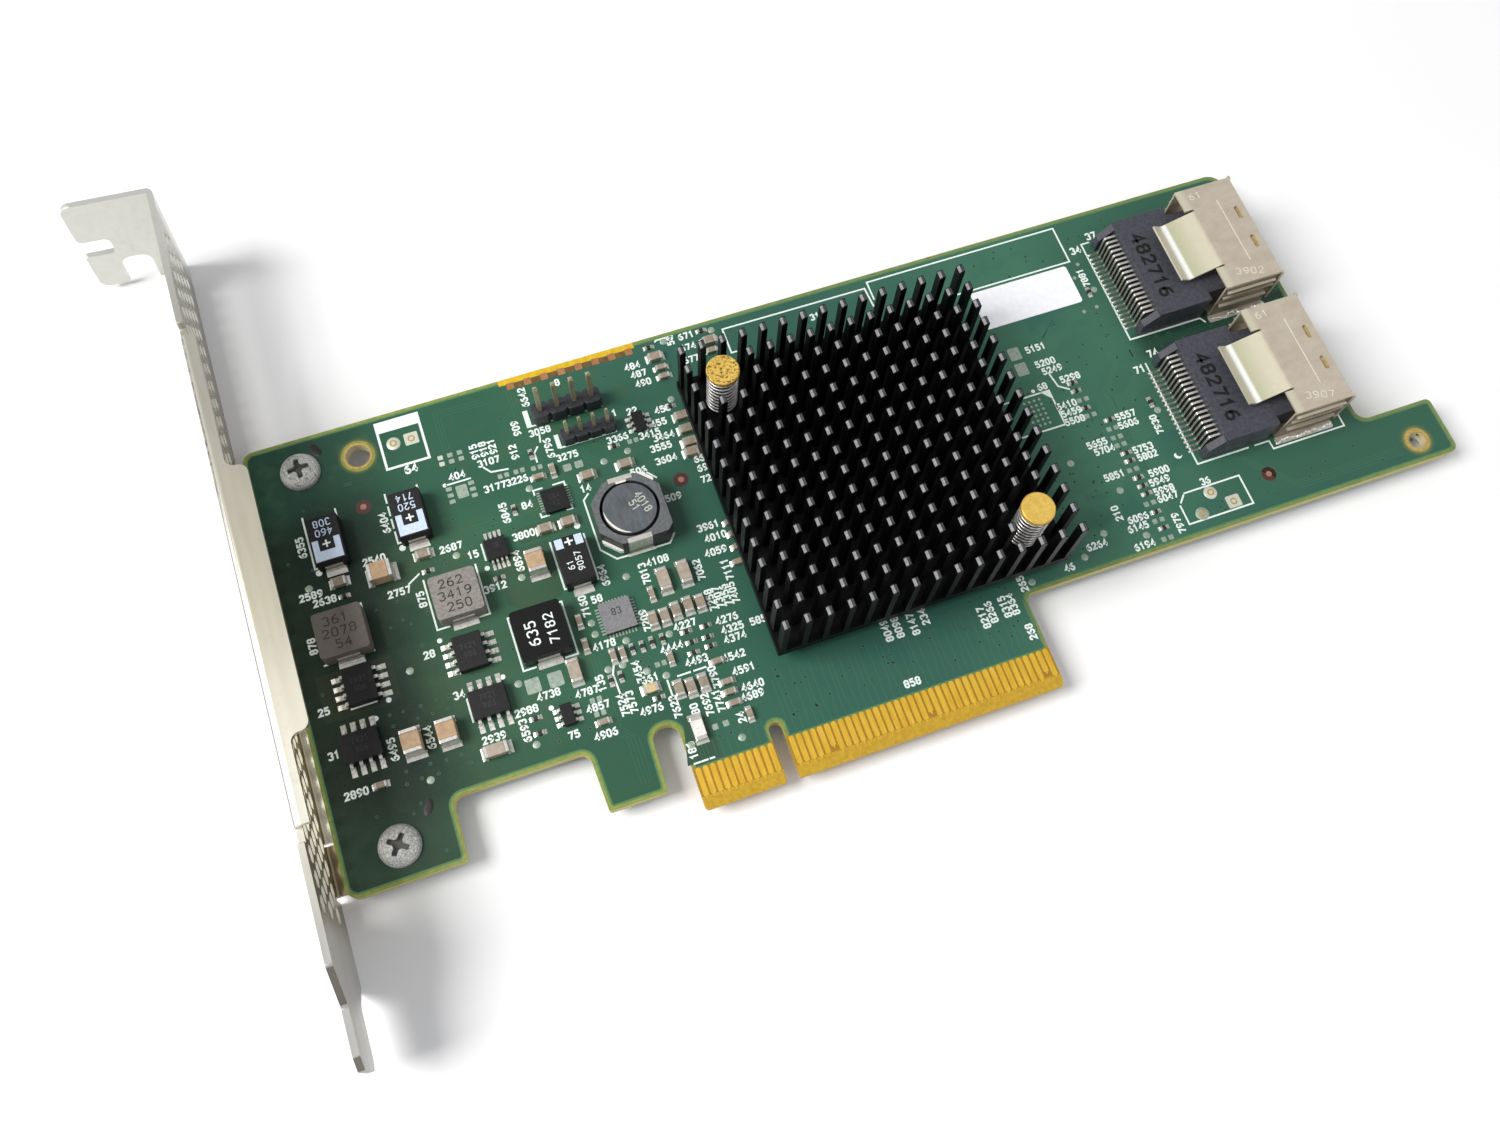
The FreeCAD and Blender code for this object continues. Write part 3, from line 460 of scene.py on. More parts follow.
def laminate():
    """Bare board: yellow-green on the faces, yellower and fibrous on the edges."""
    m = Mat("board_laminate")
    g = m.t.nodes.new("ShaderNodeNewGeometry")
    s = m.t.nodes.new("ShaderNodeSeparateXYZ")
    m.link(g.outputs["True Normal"], s.inputs[0])
    up = m.span(m.math("ABSOLUTE", s.outputs["Z"], 0.0), 0.3, 0.8, 0.0, 1.0)
    fib = m.noise(2.5, 4.0, 0.6, (1, 1, 9))
    side = m.ramp(fib, [(0.3, (152, 144, 78)), (0.7, (204, 192, 116))])
    bores = None
    for hx, hy, r in ((-42.6, 63.6, 1.85), (104.1, 16.9, 1.4)):
        dx, dy = m.math("SUBTRACT", m.xyz("X"), hx), m.math("SUBTRACT", m.xyz("Y"), hy)
        d = m.math("SQRT", m.math("ADD", m.math("MULTIPLY", dx, dx), m.math("MULTIPLY", dy, dy)), 0.0)
        k = m.span(d, r, r + 0.05, 1.0, 0.0)
        bores = k if bores is None else m.math("MAXIMUM", bores, k)
    side = m.mix(bores, side, (206, 194, 160))
    face = m.ramp(m.noise(1.2, 4.0, 0.6), [(0.3, (100, 118, 66)), (0.7, (124, 140, 84))])
    lime = m.ramp(m.noise(1.0, 4.0, 0.6), [(0.3, (112, 128, 52)), (0.7, (148, 158, 70))])
    face = m.mix(m.span(m.xyz("X"), 20.0, -15.0, 0.1, 0.9, True), face, lime)
    low = m.math("MULTIPLY", m.span(m.xyz("Y"), 5.75, 5.9, 1.0, 0.0), m.span(m.xyz("X"), -13.0, -12.8, 0.0, 1.0))
    tip = m.span(m.xyz("Y"), 1.6, 1.8, 1.0, 0.0)
    gaps = m.ramp(m.noise(3.0, 4.0, 0.6), [(0.3, (138, 102, 18)), (0.7, (172, 132, 32))])
    slope = m.ramp(m.noise(2.0, 4.0, 0.6), [(0.3, (172, 134, 26)), (0.7, (200, 162, 44))])
    face = m.mix(low, face, m.mix(tip, gaps, slope))
    side = m.mix(low, side, slope)
    m.color(m.mix(up, side, face))
    m.rough(fib, 0.42, 0.62)
    m.bump(m.noise(6.0, 3.0, 0.6), 0.2, 0.02)
    m.fixed(spec=0.4)
    return m


def bracket_metal():
    """Satin nickel on steel: greyer at the tab, creamier down the flange, faint rolling marks; painted light too: a
    bright reflection low on the flange, shade on the inner and step faces, a shaded ear, a bright lower flange and
    bands along the folds.
    """
    m = Mat("bracket_steel")
    roll = m.noise(0.9, 4.0, 0.5, (1, 0.12, 1))
    spots = m.noise(0.5, 4.0, 0.65)
    run = m.span(m.xyz("Y"), 0.0, 106.0, 0.0, 1.0)
    # Tone along the bracket; the bright stretch low on the flange is painted reflection.
    col = m.ramp(run, [(0.0, (188, 187, 182)), (0.06, (206, 202, 190)), (0.12, (246, 242, 226)), (0.24, (240, 235, 216)), (0.38, (206, 200, 177)), (0.66, (183, 179, 166)), (0.78, (186, 183, 172)), (0.9, (205, 205, 198)), (1.0, (210, 210, 204))])
    col = m.mix(m.span(roll, 0.3, 0.7, 0.0, 0.16), col, (186, 182, 168))
    col = m.mix(m.span(spots, 0.58, 0.74, 0.0, 0.22), col, (176, 170, 154))
    g = m.t.nodes.new("ShaderNodeNewGeometry")
    s = m.t.nodes.new("ShaderNodeSeparateXYZ")
    m.link(g.outputs["Normal"], s.inputs[0])
    # Painted shade on the inner face, darkest low on the bracket.
    inner_face_shade = m.math("MULTIPLY", m.span(s.outputs["X"], 0.5, 0.7, 0.0, 0.8), m.span(m.xyz("Y"), 101.0, 103.0, 1.0, 0.0))
    inner_face_shade = m.math("MULTIPLY", inner_face_shade, m.span(m.xyz("Y"), -2.5, 2.5, 0.12, 1.0, True))
    col = m.mix(inner_face_shade, col, m.ramp(m.span(m.xyz("Y"), 0.0, 106.0, 0.0, 1.0), [(0.0, (140, 128, 104)), (0.03, (128, 112, 80)), (0.24, (132, 116, 84)), (0.6, (140, 134, 122)), (1.0, (152, 148, 140))]))
    # Painted shade on the step faces that look towards the tail.
    ends = m.math("MULTIPLY", m.span(s.outputs["Y"], -0.5, -0.7, 0.0, 0.8), m.span(m.xyz("Y"), 8.0, 12.0, 1.0, 0.0))
    col = m.mix(ends, col, (98, 88, 76))
    # Painted light along the bottom: painted shade on the ear and a painted white highlight on the lower flange.
    under = m.math("MULTIPLY", m.span(m.xyz("Z"), 0.2, -0.2, 0.0, 1.0), m.span(m.xyz("X"), -59.6, -59.2, 0.0, 1.0))
    ear_shade_flange_highlight = m.mix(m.span(m.xyz("Y"), 11.6, 12.0, 0.0, 1.0), (130, 108, 76), (252, 252, 250))
    col = m.mix(m.math("MULTIPLY", under, m.span(m.xyz("Y"), 1.0, 3.0, 0.0, 0.85)), col, ear_shade_flange_highlight)
    # Painted reflections on the folds: bright and dark bands set by the face's slant, broken into patches on the upper
    # fold.
    fold_light = m.math("MULTIPLY", m.span(m.xyz("Z"), 12.6, 12.9, 0.0, 1.0), m.span(m.xyz("Y"), 81.0, 82.0, 1.0, 0.0))
    fold_light = m.math("MULTIPLY", fold_light, m.span(m.xyz("Y"), 10.5, 11.4, 0.0, 1.0))
    fold_light = m.math("MULTIPLY", fold_light, m.span(s.outputs["X"], -0.16, -0.2, 0.0, 1.0))
    wear_and_sheen_patches = m.span(m.noise(2.2, 4.0, 0.7, (1, 0.5, 1)), 0.45, 0.6, 0.35, 1.0)
    upper = m.span(m.xyz("Y"), 46.0, 62.0, 0.0, 1.0, True)
    low_fold_reflection = m.ramp(m.span(s.outputs["X"], -1.0, 0.0, 0.0, 1.0), [(0.0, (84, 80, 70)), (0.22, (104, 100, 88)), (0.32, (246, 245, 240)), (0.62, (255, 255, 252)), (0.68, (138, 134, 120)), (0.76, (160, 155, 138)), (0.82, (206, 201, 182))])
    high_fold_reflection = m.ramp(m.span(s.outputs["X"], -1.0, 0.0, 0.0, 1.0), [(0.0, (62, 62, 54)), (0.42, (84, 83, 74)), (0.54, (206, 204, 192)), (0.8, (190, 186, 174))])
    col = m.mix(m.math("MULTIPLY", fold_light, m.math("MAXIMUM", wear_and_sheen_patches, m.math("SUBTRACT", 1.0, upper))), col, m.mix(upper, low_fold_reflection, high_fold_reflection))
    m.color(col)
    m.rough(roll, 0.32, 0.42)
    m.bump(m.noise(3.0, 3.0, 0.5, (1, 0.3, 1)), 0.04, 0.008)
    m.fixed(metal=0.6)
    return m


def screw_metal():
    """Zinc-plated screw heads, grainy and pitted, with painted shade in the cross recess."""
    m = Mat("screw_steel")
    grain = m.noise(4.2, 5.0, 0.75)
    pits = m.noise(2.0, 5.0, 0.8)
    col = m.ramp(grain, [(0.34, (128, 128, 124)), (0.5, (190, 190, 186)), (0.64, (232, 232, 229))])
    wear_and_sheen_patches = m.span(m.xyz("Y"), 30.0, 50.0, 0.25, 1.0)
    col = m.mix(m.math("MULTIPLY", m.span(pits, 0.54, 0.64, 0.0, 0.9), wear_and_sheen_patches), col, (104, 101, 94))
    # Painted shade in the cross recess of each head.
    low = m.span(m.xyz("Z"), 0.8, 1.0, 1.0, 0.0)
    near = None
    for sx, sy in ((-50.75, 63.65), (-50.35, 8.5)):
        dx, dy = m.math("SUBTRACT", m.xyz("X"), sx), m.math("SUBTRACT", m.xyz("Y"), sy)
        d = m.math("SQRT", m.math("ADD", m.math("MULTIPLY", dx, dx), m.math("MULTIPLY", dy, dy)), 0.0)
        k = m.span(d, 1.6, 1.75, 1.0, 0.0)
        near = k if near is None else m.math("MAXIMUM", near, k)
    col = m.mix(m.math("MULTIPLY", low, near), col, (104, 103, 98))
    m.color(col)
    m.rough(grain, 0.42, 0.6)
    m.bump(m.math("ADD", grain, m.math("MULTIPLY", pits, wear_and_sheen_patches)), 0.7, 0.09)
    m.fixed(metal=0.5)
    return m


def cage_metal():
    """Warm tin-plated sheet; the spring tongue has a painted highlight that makes it paler, with a bright line along
    its valley; the upright side walls carry painted reflection streaks.
    """
    m = Mat("cage_tin")
    roll = m.noise(0.7, 4.0, 0.5, (0.6, 1, 1))
    fine = m.noise(3.0, 4.0, 0.6)
    col = m.ramp(roll, [(0.3, (206, 193, 172)), (0.7, (220, 208, 188))])
    spots = m.noise(1.4, 4.0, 0.7)
    col = m.mix(m.span(spots, 0.6, 0.72, 0.0, 0.4), col, (176, 158, 138))
    x = m.xyz("X")
    # Painted highlight on the spring tongue, brightest along its valley.
    slope = m.math("MULTIPLY", m.span(x, 85.6, 84.6, 0.0, 1.0, True), m.span(m.xyz("Z"), 4.6, 5.4, 0.0, 1.0))
    col = m.mix(slope, col, m.ramp(m.span(x, 78.8, 85.6, 0.0, 1.0), [(0.0, (206, 200, 178)), (0.2, (214, 209, 188)), (0.235, (255, 255, 250)), (0.31, (255, 255, 250)), (0.36, (198, 198, 164)), (0.7, (224, 218, 192)), (1.0, (232, 224, 198))]))
    # Painted reflection: the upright side walls darker, in streaks.
    side = None
    for yc in (54.45, 32.8):
        d = m.math("ABSOLUTE", m.math("SUBTRACT", m.xyz("Y"), yc), 0.0)
        k = m.math("MULTIPLY", m.span(d, 8.74, 8.77, 0.0, 1.0), m.span(d, 8.83, 8.86, 1.0, 0.0))
        side = k if side is None else m.math("MAXIMUM", side, k)
    side = m.math("MULTIPLY", side, m.span(m.xyz("Z"), 7.2, 7.5, 1.0, 0.0))
    flank_reflection_streaks = m.noise(0.8, 3.0, 0.5, (0.3, 1, 2.2))
    col = m.mix(m.math("MULTIPLY", side, 0.88), col, m.ramp(flank_reflection_streaks, [(0.35, (78, 72, 62)), (0.65, (128, 120, 104))]))
    m.color(col)
    m.rough(fine, 0.32, 0.44)
    m.bump(m.noise(1.2, 2.0, 0.5), 0.05, 0.02)
    m.fixed(metal=0.55)
    return m


def pitted(name, c1, c2, rough, metal, amount, size):
    """Metal with corroded pits, stronger at the bracket side of the card."""
    m = Mat(name)
    n = m.noise(2.0, 5.0, 0.65)
    pits = m.noise(size, 5.0, 0.75)
    col = m.ramp(n, [(0.3, c1), (0.7, c2)])
    side = m.span(m.xyz("X"), 20.0, 30.0, 1.0, 0.12)
    col = m.mix(m.math("MULTIPLY", m.span(pits, 0.5, 0.59, 0.0, amount), side), col, (100, 74, 32))
    # Painted shade: the brass below the pin heads, inside the springs, is dark.
    col = m.mix(m.span(m.xyz("Z"), 12.3, 12.44, 1.0, 0.0), col, (20, 17, 13))
    m.color(col)
    m.rough(n, *rough)
    m.bump(pits, 0.3, 0.04)
    m.fixed(metal=metal)
    return m


def shade_upright_faces(m, colour, amount):
    """Upright faces darker than the top face: painted shade."""
    g = m.t.nodes.new("ShaderNodeNewGeometry")
    n = m.t.nodes.new("ShaderNodeSeparateXYZ")
    m.link(g.outputs["Normal"], n.inputs[0])
    k = m.span(n.outputs["Z"], 0.45, 0.8, amount, 0.0)
    m.color(m.mix(k, m.b.inputs["Base Color"].links[0].from_socket, colour))


green = board_green("board_mask", 0.0)
green_lift = board_green("board_traces", 0.08)
green_olive = board_green("board_copper_area", -0.35)
bare = laminate()
gold = surface("gold_plate", (220, 172, 44), (246, 202, 74), (0.3, 0.44), 0.45, 1.8, (0.15, 0.01), stretch=(1, 0.15, 1))
ring_gold = surface("plated_ring", (164, 134, 66), (200, 172, 102), (0.38, 0.54), 0.2, 2.4, (0.2, 0.01))
copper = surface("copper_pad", (176, 112, 66), (206, 150, 104), (0.34, 0.5), 0.6, 0.55, (0.2, 0.01))
copper_dark = surface("copper_under_varnish", (92, 68, 36), (126, 92, 48), (0.36, 0.5), 0.0, 1.2, (0.2, 0.01), 0.34)
nickel = bracket_metal()
screw = screw_metal()
sink = surface("sink_black", (2, 2, 3), (6, 6, 7), (0.42, 0.56), 0.0, 2.2, (0.3, 0.02), 0.18)
# Painted highlight: the near faces of the front pin rows lighter, where the light falls on them.
g = sink.t.nodes.new("ShaderNodeNewGeometry")
front = sink.t.nodes.new("ShaderNodeSeparateXYZ")
sink.link(g.outputs["Normal"], front.inputs[0])
front = sink.math("MULTIPLY", sink.span(front.outputs["Y"], -0.6, -0.8, 0.0, 1.0), sink.span(sink.xyz("Y"), 17.6, 17.2, 0.0, 1.0))
front = sink.math("MULTIPLY", sink.math("MULTIPLY", front, sink.span(sink.xyz("X"), 26.0, 40.0, 0.0, 1.0, True)), sink.span(sink.xyz("Z"), 4.4, 6.0, 0.3, 1.0))
sink.color(sink.mix(front, sink.b.inputs["Base Color"].links[0].from_socket, (52, 54, 57)))
sink_top = surface("sink_cut_top", (46, 47, 49), (74, 75, 78), (0.45, 0.6), 0.0, 3.0, (0.2, 0.01), 0.3, stretch=(1, 0.3, 1))
# Painted highlight: the bright grey laid on the slope beside each pin top.
slope_highlight = surface("sink_slope_highlight", (108, 108, 111), (150, 150, 153), (0.45, 0.6), 0.0, 3.0, (0.2, 0.01), 0.3)
brass = pitted("pin_brass", (226, 182, 78), (246, 208, 108), (0.3, 0.44), 0.4, 0.95, 2.4)
spring = surface("spring_steel", (196, 192, 190), (236, 233, 231), (0.24, 0.36), 0.65, 3.0, (0.15, 0.01))
plastic = surface("mould_black", (12, 12, 13), (27, 26, 26), (0.42, 0.62), 0.0, 2.2, (0.35, 0.03), 0.36)
pad_grey = surface("pad_grey", (120, 122, 124), (150, 152, 154), (0.6, 0.8), 0.0, 1.6, (0.2, 0.02))
tin_cage = cage_metal()
port_dark = surface("port_plastic", (54, 55, 62), (76, 77, 85), (0.42, 0.58), 0.0, 1.8, (0.3, 0.02), 0.4)
tin = surface("tin", (206, 203, 194), (240, 238, 231), (0.26, 0.4), 0.75, 2.4, (0.25, 0.02))
solder = surface("solder", (206, 204, 194), (242, 240, 230), (0.26, 0.46), 0.72, 1.8, (0.4, 0.05))
pale_pad = surface("tinned_pad", (196, 200, 186), (228, 228, 214), (0.34, 0.52), 0.55, 2.6, (0.3, 0.03))
dim_pad = surface("dim_pad", (136, 154, 138), (180, 192, 176), (0.38, 0.54), 0.4, 2.6, (0.3, 0.03))
paler = dim_pad.math("MAXIMUM", dim_pad.span(dim_pad.xyz("X"), 69.5, 70.5, 0.0, 0.9), dim_pad.math("MULTIPLY", dim_pad.span(dim_pad.xyz("X"), -30.5, -31.5, 0.0, 0.9), dim_pad.span(dim_pad.xyz("Y"), 57.0, 58.0, 0.0, 1.0)))
dim_pad.color(dim_pad.mix(paler, dim_pad.b.inputs["Base Color"].links[0].from_socket, (214, 216, 200)))
end_tin = surface("resistor_end", (150, 154, 146), (192, 194, 184), (0.34, 0.5), 0.55, 3.0, (0.3, 0.03))
header_black = surface("header_plastic", (36, 38, 43), (57, 59, 66), (0.4, 0.58), 0.0, 2.4, (0.3, 0.03), 0.45)
tan = surface("ceramic_tan", (168, 138, 106), (192, 163, 130), (0.42, 0.56), 0.0, 1.4, (0.2, 0.02), 0.45)
tan_grey = surface("ceramic_grey_tan", (154, 142, 127), (182, 169, 153), (0.42, 0.56), 0.0, 1.4, (0.2, 0.02), 0.45)
tan_dark = surface("ceramic_dark_tan", (132, 120, 103), (164, 150, 131), (0.42, 0.56), 0.0, 1.4, (0.2, 0.02), 0.45)
pin_metal = surface("header_pin", (168, 156, 122), (214, 204, 172), (0.26, 0.4), 0.6, 2.6, (0.2, 0.01))
ferrite_frame = surface("ferrite_frame", (82, 85, 86), (110, 113, 113), (0.42, 0.58), 0.0, 2.2, (0.3, 0.03), 0.4, specks=((78, 77, 77), 2.2, 0.14))
ferrite_core = surface("ferrite_core", (73, 77, 81), (97, 102, 106), (0.36, 0.5), 0.0, 1.2, (0.2, 0.02), 0.45, stretch=(1, 0.3, 1))
white = surface("ceramic_white", (214, 212, 204), (238, 236, 230), (0.38, 0.55), 0.0, 2.0, (0.2, 0.02), 0.45)
res_black = surface("resistor_black", (24, 26, 25), (46, 48, 46), (0.35, 0.52), 0.0, 4.0, (0.3, 0.02), 0.5)
lamp = surface("lamp_tan", (190, 166, 120), (218, 198, 152), (0.28, 0.42), 0.0, 2.4, (0.2, 0.02), 0.5, coat=0.3)
ferrite_grey = surface("ferrite_grey", (116, 113, 106), (148, 144, 137), (0.5, 0.68), 0.0, 2.6, (0.35, 0.03), 0.35, specks=((96, 90, 83), 2.6, 0.16))
# Darker brown towards the bracket end: partly the part's own tone, partly painted shadow of the bracket.
brown_tone_and_shade = ferrite_grey.mix(ferrite_grey.span(ferrite_grey.xyz("X"), -46.0, -44.0, 0.75, 0.0), ferrite_grey.b.inputs["Base Color"].links[0].from_socket, (92, 82, 76))
ferrite_grey.color(brown_tone_and_shade)
ferrite_side = surface("ferrite_dark_side", (40, 39, 37), (66, 63, 60), (0.5, 0.68), 0.0, 2.6, (0.35, 0.03), 0.35)
ferrite_black = surface("ferrite_black", (4, 4, 5), (11, 11, 12), (0.36, 0.5), 0.0, 2.2, (0.25, 0.02), 0.28)
chip_grey = surface("chip_grey", (112, 111, 113), (138, 137, 139), (0.45, 0.62), 0.0, 3.0, (0.25, 0.02), 0.4)
# Painted shade on the upright faces of the grey chip and the inductor frame.
shade_upright_faces(chip_grey, (24, 23, 23), 0.9)
shade_upright_faces(ferrite_frame, (22, 22, 23), 0.72)
ink = surface("print_white", (216, 230, 221), (244, 250, 246), (0.5, 0.68), 0.0, 4.0, (0.3, 0.01), 0.3)
ink_grey = surface("print_grey", (44, 44, 46), (62, 62, 64), (0.5, 0.66), 0.0, 4.0, (0.2, 0.01), 0.3)
ink_dark = surface("print_dark", (52, 48, 42), (74, 70, 62), (0.5, 0.66), 0.0, 4.0, (0.2, 0.01), 0.3)
field = surface("print_pale_blue", (186, 204, 226), (212, 224, 240), (0.42, 0.58), 0.0, 2.4, (0.2, 0.01), 0.35)
paper = surface("label_paper", (238, 239, 243), (249, 249, 252), (0.5, 0.66), 0.0, 1.2, (0.15, 0.01), 0.3)
via_dark = surface("via_hole", (12, 22, 17), (26, 40, 32), (0.4, 0.6), 0.0, 5.0, (0.2, 0.01))
via_ring = surface("via_ring", (44, 88, 66), (68, 112, 86), (0.4, 0.55), 0.0, 5.0, (0.2, 0.01))
rust = surface("fiducial_window", (62, 34, 29), (90, 48, 40), (0.4, 0.55), 0.0, 3.0, (0.2, 0.01))
smudge = surface("smudge", (12, 12, 11), (34, 30, 24), (0.3, 0.5), 0.0, 3.0, (0.4, 0.05))
dot_copper = surface("fiducial_copper", (146, 108, 94), (174, 136, 118), (0.4, 0.55), 0.3, 2.0, (0.2, 0.01))
comb_black = surface("comb_plastic", (16, 17, 19), (28, 29, 33), (0.45, 0.62), 0.0, 2.2, (0.3, 0.02), 0.3)
latch_gold = surface("latch_metal", (150, 132, 84), (186, 168, 116), (0.36, 0.5), 0.4, 2.4, (0.2, 0.01))
edge_soft = surface("varnish_rim", (72, 110, 74), (88, 126, 84), (0.36, 0.5), 0.0, 2.0, (0.2, 0.01), 0.34)
edge_faint = surface("varnish_rim_outer", (90, 124, 76), (106, 138, 86), (0.36, 0.5), 0.0, 2.0, (0.2, 0.01), 0.34)
strip = surface("edge_gold", (214, 170, 22), (242, 203, 46), (0.36, 0.5), 0.3, 1.4, (0.2, 0.01))

lead_tin = surface("contact_tin", (208, 204, 192), (238, 235, 226), (0.28, 0.42), 0.6, 2.4, (0.2, 0.01))
# Painted shade on the lower legs of the contacts.
lead_tin.color(lead_tin.mix(lead_tin.span(lead_tin.xyz("Z"), 3.0, 3.6, 0.8, 0.0), lead_tin.b.inputs["Base Color"].links[0].from_socket, (112, 116, 106)))
score_tin = surface("score_tin", (232, 224, 204), (248, 242, 226), (0.3, 0.42), 0.2, 2.4, (0.2, 0.01))
fold_tin = surface("folded_tin", (196, 192, 182), (230, 227, 219), (0.3, 0.44), 0.6, 2.4, (0.3, 0.03))
# Painted shade low on the terminals, near the board.
terminal_foot_shade = fold_tin.mix(fold_tin.span(fold_tin.xyz("Z"), 1.0, 1.6, 0.75, 0.0), fold_tin.b.inputs["Base Color"].links[0].from_socket, (126, 120, 110))
fold_tin.color(terminal_foot_shade)

BY_SLOT = {"board_laminate": bare, "gold_plate": gold, "bracket_steel": nickel, "screw_steel": screw, "sink_aluminium": sink, "pin_brass": brass,
           "spring_steel": spring, "mould_black": plastic, "pad_grey": pad_grey, "cage_tin": tin_cage, "port_plastic": port_dark, "tin": tin,
           "header_plastic": header_black, "ceramic_tan": tan, "ceramic_white": white, "resistor_black": res_black, "lamp_tan": lamp,
           "ferrite_grey": ferrite_grey, "ferrite_black": ferrite_black, "chip_grey": chip_grey}
NODE_SLOT = {
    "circuit_board": "board_laminate", "edge_contacts": "gold_plate", "slot_bracket": "bracket_steel", "bracket_screws": "screw_steel",
    "heat_sink": "sink_aluminium", "heat_sink_push_pins": "pin_brass", "heat_sink_springs": "spring_steel", "controller_chip": "mould_black",
    "thermal_pad": "pad_grey", "port_cages": "cage_tin", "port_housings": "port_plastic", "port_contacts": "tin",
    "tall_header_body": "header_plastic", "tall_header_pins": "gold_plate", "low_header_body": "header_plastic", "low_header_pins": "gold_plate",
    "tantalum_bodies": "mould_black", "tantalum_terminals": "tin", "grey_inductors": "ferrite_grey", "black_inductor": "ferrite_black",
    "inductor_terminals": "tin", "power_inductor_frame": "ferrite_grey", "power_inductor_core": "ferrite_grey", "power_inductor_terminals": "tin",
    "transistor_bodies": "mould_black", "transistor_leads": "tin", "regulator_chip_body": "mould_black", "regulator_chip_leads": "tin",
    "small_chip_bodies": "mould_black", "small_chip_leads": "tin", "flat_chip_dark": "mould_black", "flat_chip_grey": "chip_grey",
    "fuse_body": "ceramic_white", "fuse_ends": "tin", "indicator_lamp_body": "lamp_tan", "indicator_lamp_ends": "tin",
    "chip_resistor_bodies": "resistor_black", "chip_resistor_ends": "tin",
}
for size in ("large", "medium", "small", "tiny"):
    NODE_SLOT[size + "_capacitor_bodies"] = "ceramic_tan"
    NODE_SLOT[size + "_capacitor_ends"] = "tin"


def soften(ob, width):
    """Small round on the sharp edges of a CAD piece, for the light to catch."""
    w = ob.modifiers.new("weld", "WELD")
    w.merge_threshold = 2e-6
    b = ob.modifiers.new("round", "BEVEL")
    b.width = width * MM
    b.segments = 2
    b.limit_method = "ANGLE"
    b.angle_limit = math.radians(40)
    b.use_clamp_overlap = True


ROUND = {"large_capacitor_bodies": 0.1, "large_capacitor_ends": 0.16, "medium_capacitor_bodies": 0.08, "medium_capacitor_ends": 0.12,
         "small_capacitor_bodies": 0.06, "small_capacitor_ends": 0.1, "tiny_capacitor_bodies": 0.05, "tiny_capacitor_ends": 0.08,
         "chip_resistor_bodies": 0.02, "chip_resistor_ends": 0.04, "tantalum_bodies": 0.12, "transistor_bodies": 0.08, "regulator_chip_body": 0.06,
         "small_chip_bodies": 0.06, "flat_chip_dark": 0.03, "flat_chip_grey": 0.05, "port_housings": 0.12, "grey_inductors": 0.16, "black_inductor": 0.2,
         "fuse_body": 0.05, "fuse_ends": 0.1, "indicator_lamp_body": 0.08, "indicator_lamp_ends": 0.06, "tall_header_body": 0.1, "low_header_body": 0.08,
         "power_inductor_frame": 0.15, "slot_bracket": 0.06}
SPECIAL = {"medium_capacitor_bodies": tan_grey, "small_capacitor_bodies": tan_dark, "tiny_capacitor_bodies": tan_dark, "tall_header_pins": pin_metal, "low_header_pins": pin_metal,
           "power_inductor_frame": ferrite_frame, "power_inductor_core": ferrite_core, "power_inductor_terminals": fold_tin, "tantalum_terminals": fold_tin,
           "inductor_terminals": fold_tin, "port_contacts": lead_tin, "chip_resistor_ends": end_tin}
for name, ob in NODES.items():
    ob.data.materials.clear()
    ob.data.materials.append(SPECIAL.get(name, BY_SLOT[NODE_SLOT[name]]).m)
    if name in ROUND:
        soften(ob, ROUND[name])

rng = random.Random(20)
MASK_Z = 0.015
TOP = MASK_Z + 0.004      # where print and pads start
BT = 1.57

# ------------------------------------------------------------------ green varnish on both faces, set back from every edge
mask_outline = corners([
    (-57.5, 4.6, 1.2), (-43.4, 4.6, 0.3), (-43.3, 13.0, 2.0), (-23.6, 13.0, 2.1), (-23.3, 4.6, 0.3), (-16.8, 4.6, 0.3), (-16.5, 13.1, 2.35), (-11.45, 13.1, 2.35),
    (-11.45, 5.8, 0.2), (-1.6, 5.8, 0.2), (-1.6, 8.7, 1.5), (1.6, 8.7, 1.5), (1.6, 5.8, 0.2), (38.45, 5.8, 0.2), (38.45, 14.3, 1.9), (108.6, 14.3, 0.7), (108.6, 21.8, 0.3),
    (96.8, 21.8, 2.3), (96.8, 68.2, 2.0), (-57.5, 68.2, 1.2)])
openings = [circle(-42.6, 63.6, 2.42), circle(104.1, 16.9, 2.1)]
sheet_piece("board_mask_top", [mask_outline] + openings, 0.0, MASK_Z, green.m)
under_openings = openings + [circle(x, y, 2.0) for x, y in ((-50.75, 63.65), (-50.35, 8.5))] + [circle(8.44, 53.43, 1.7), circle(41.0, 20.87, 1.7)]
sheet_piece("board_mask_bottom", [mask_outline] + under_openings, -BT - MASK_Z, -BT, green.m)

faint_rim, soft_rim = Shape(), Shape()
for z0, z1, z2 in ((0.0, 0.006, 0.01), (-BT, -BT - 0.006, -BT - 0.01)):
    faint_rim.ribbon(mask_outline, 0.62, min(z0, z1), max(z0, z1), closed=True)
    soft_rim.ribbon(mask_outline, 0.32, min(z0, z2), max(z0, z2), closed=True)
piece("board_mask_rim_outer", faint_rim, edge_faint.m)
piece("board_mask_rim", soft_rim, edge_soft.m)

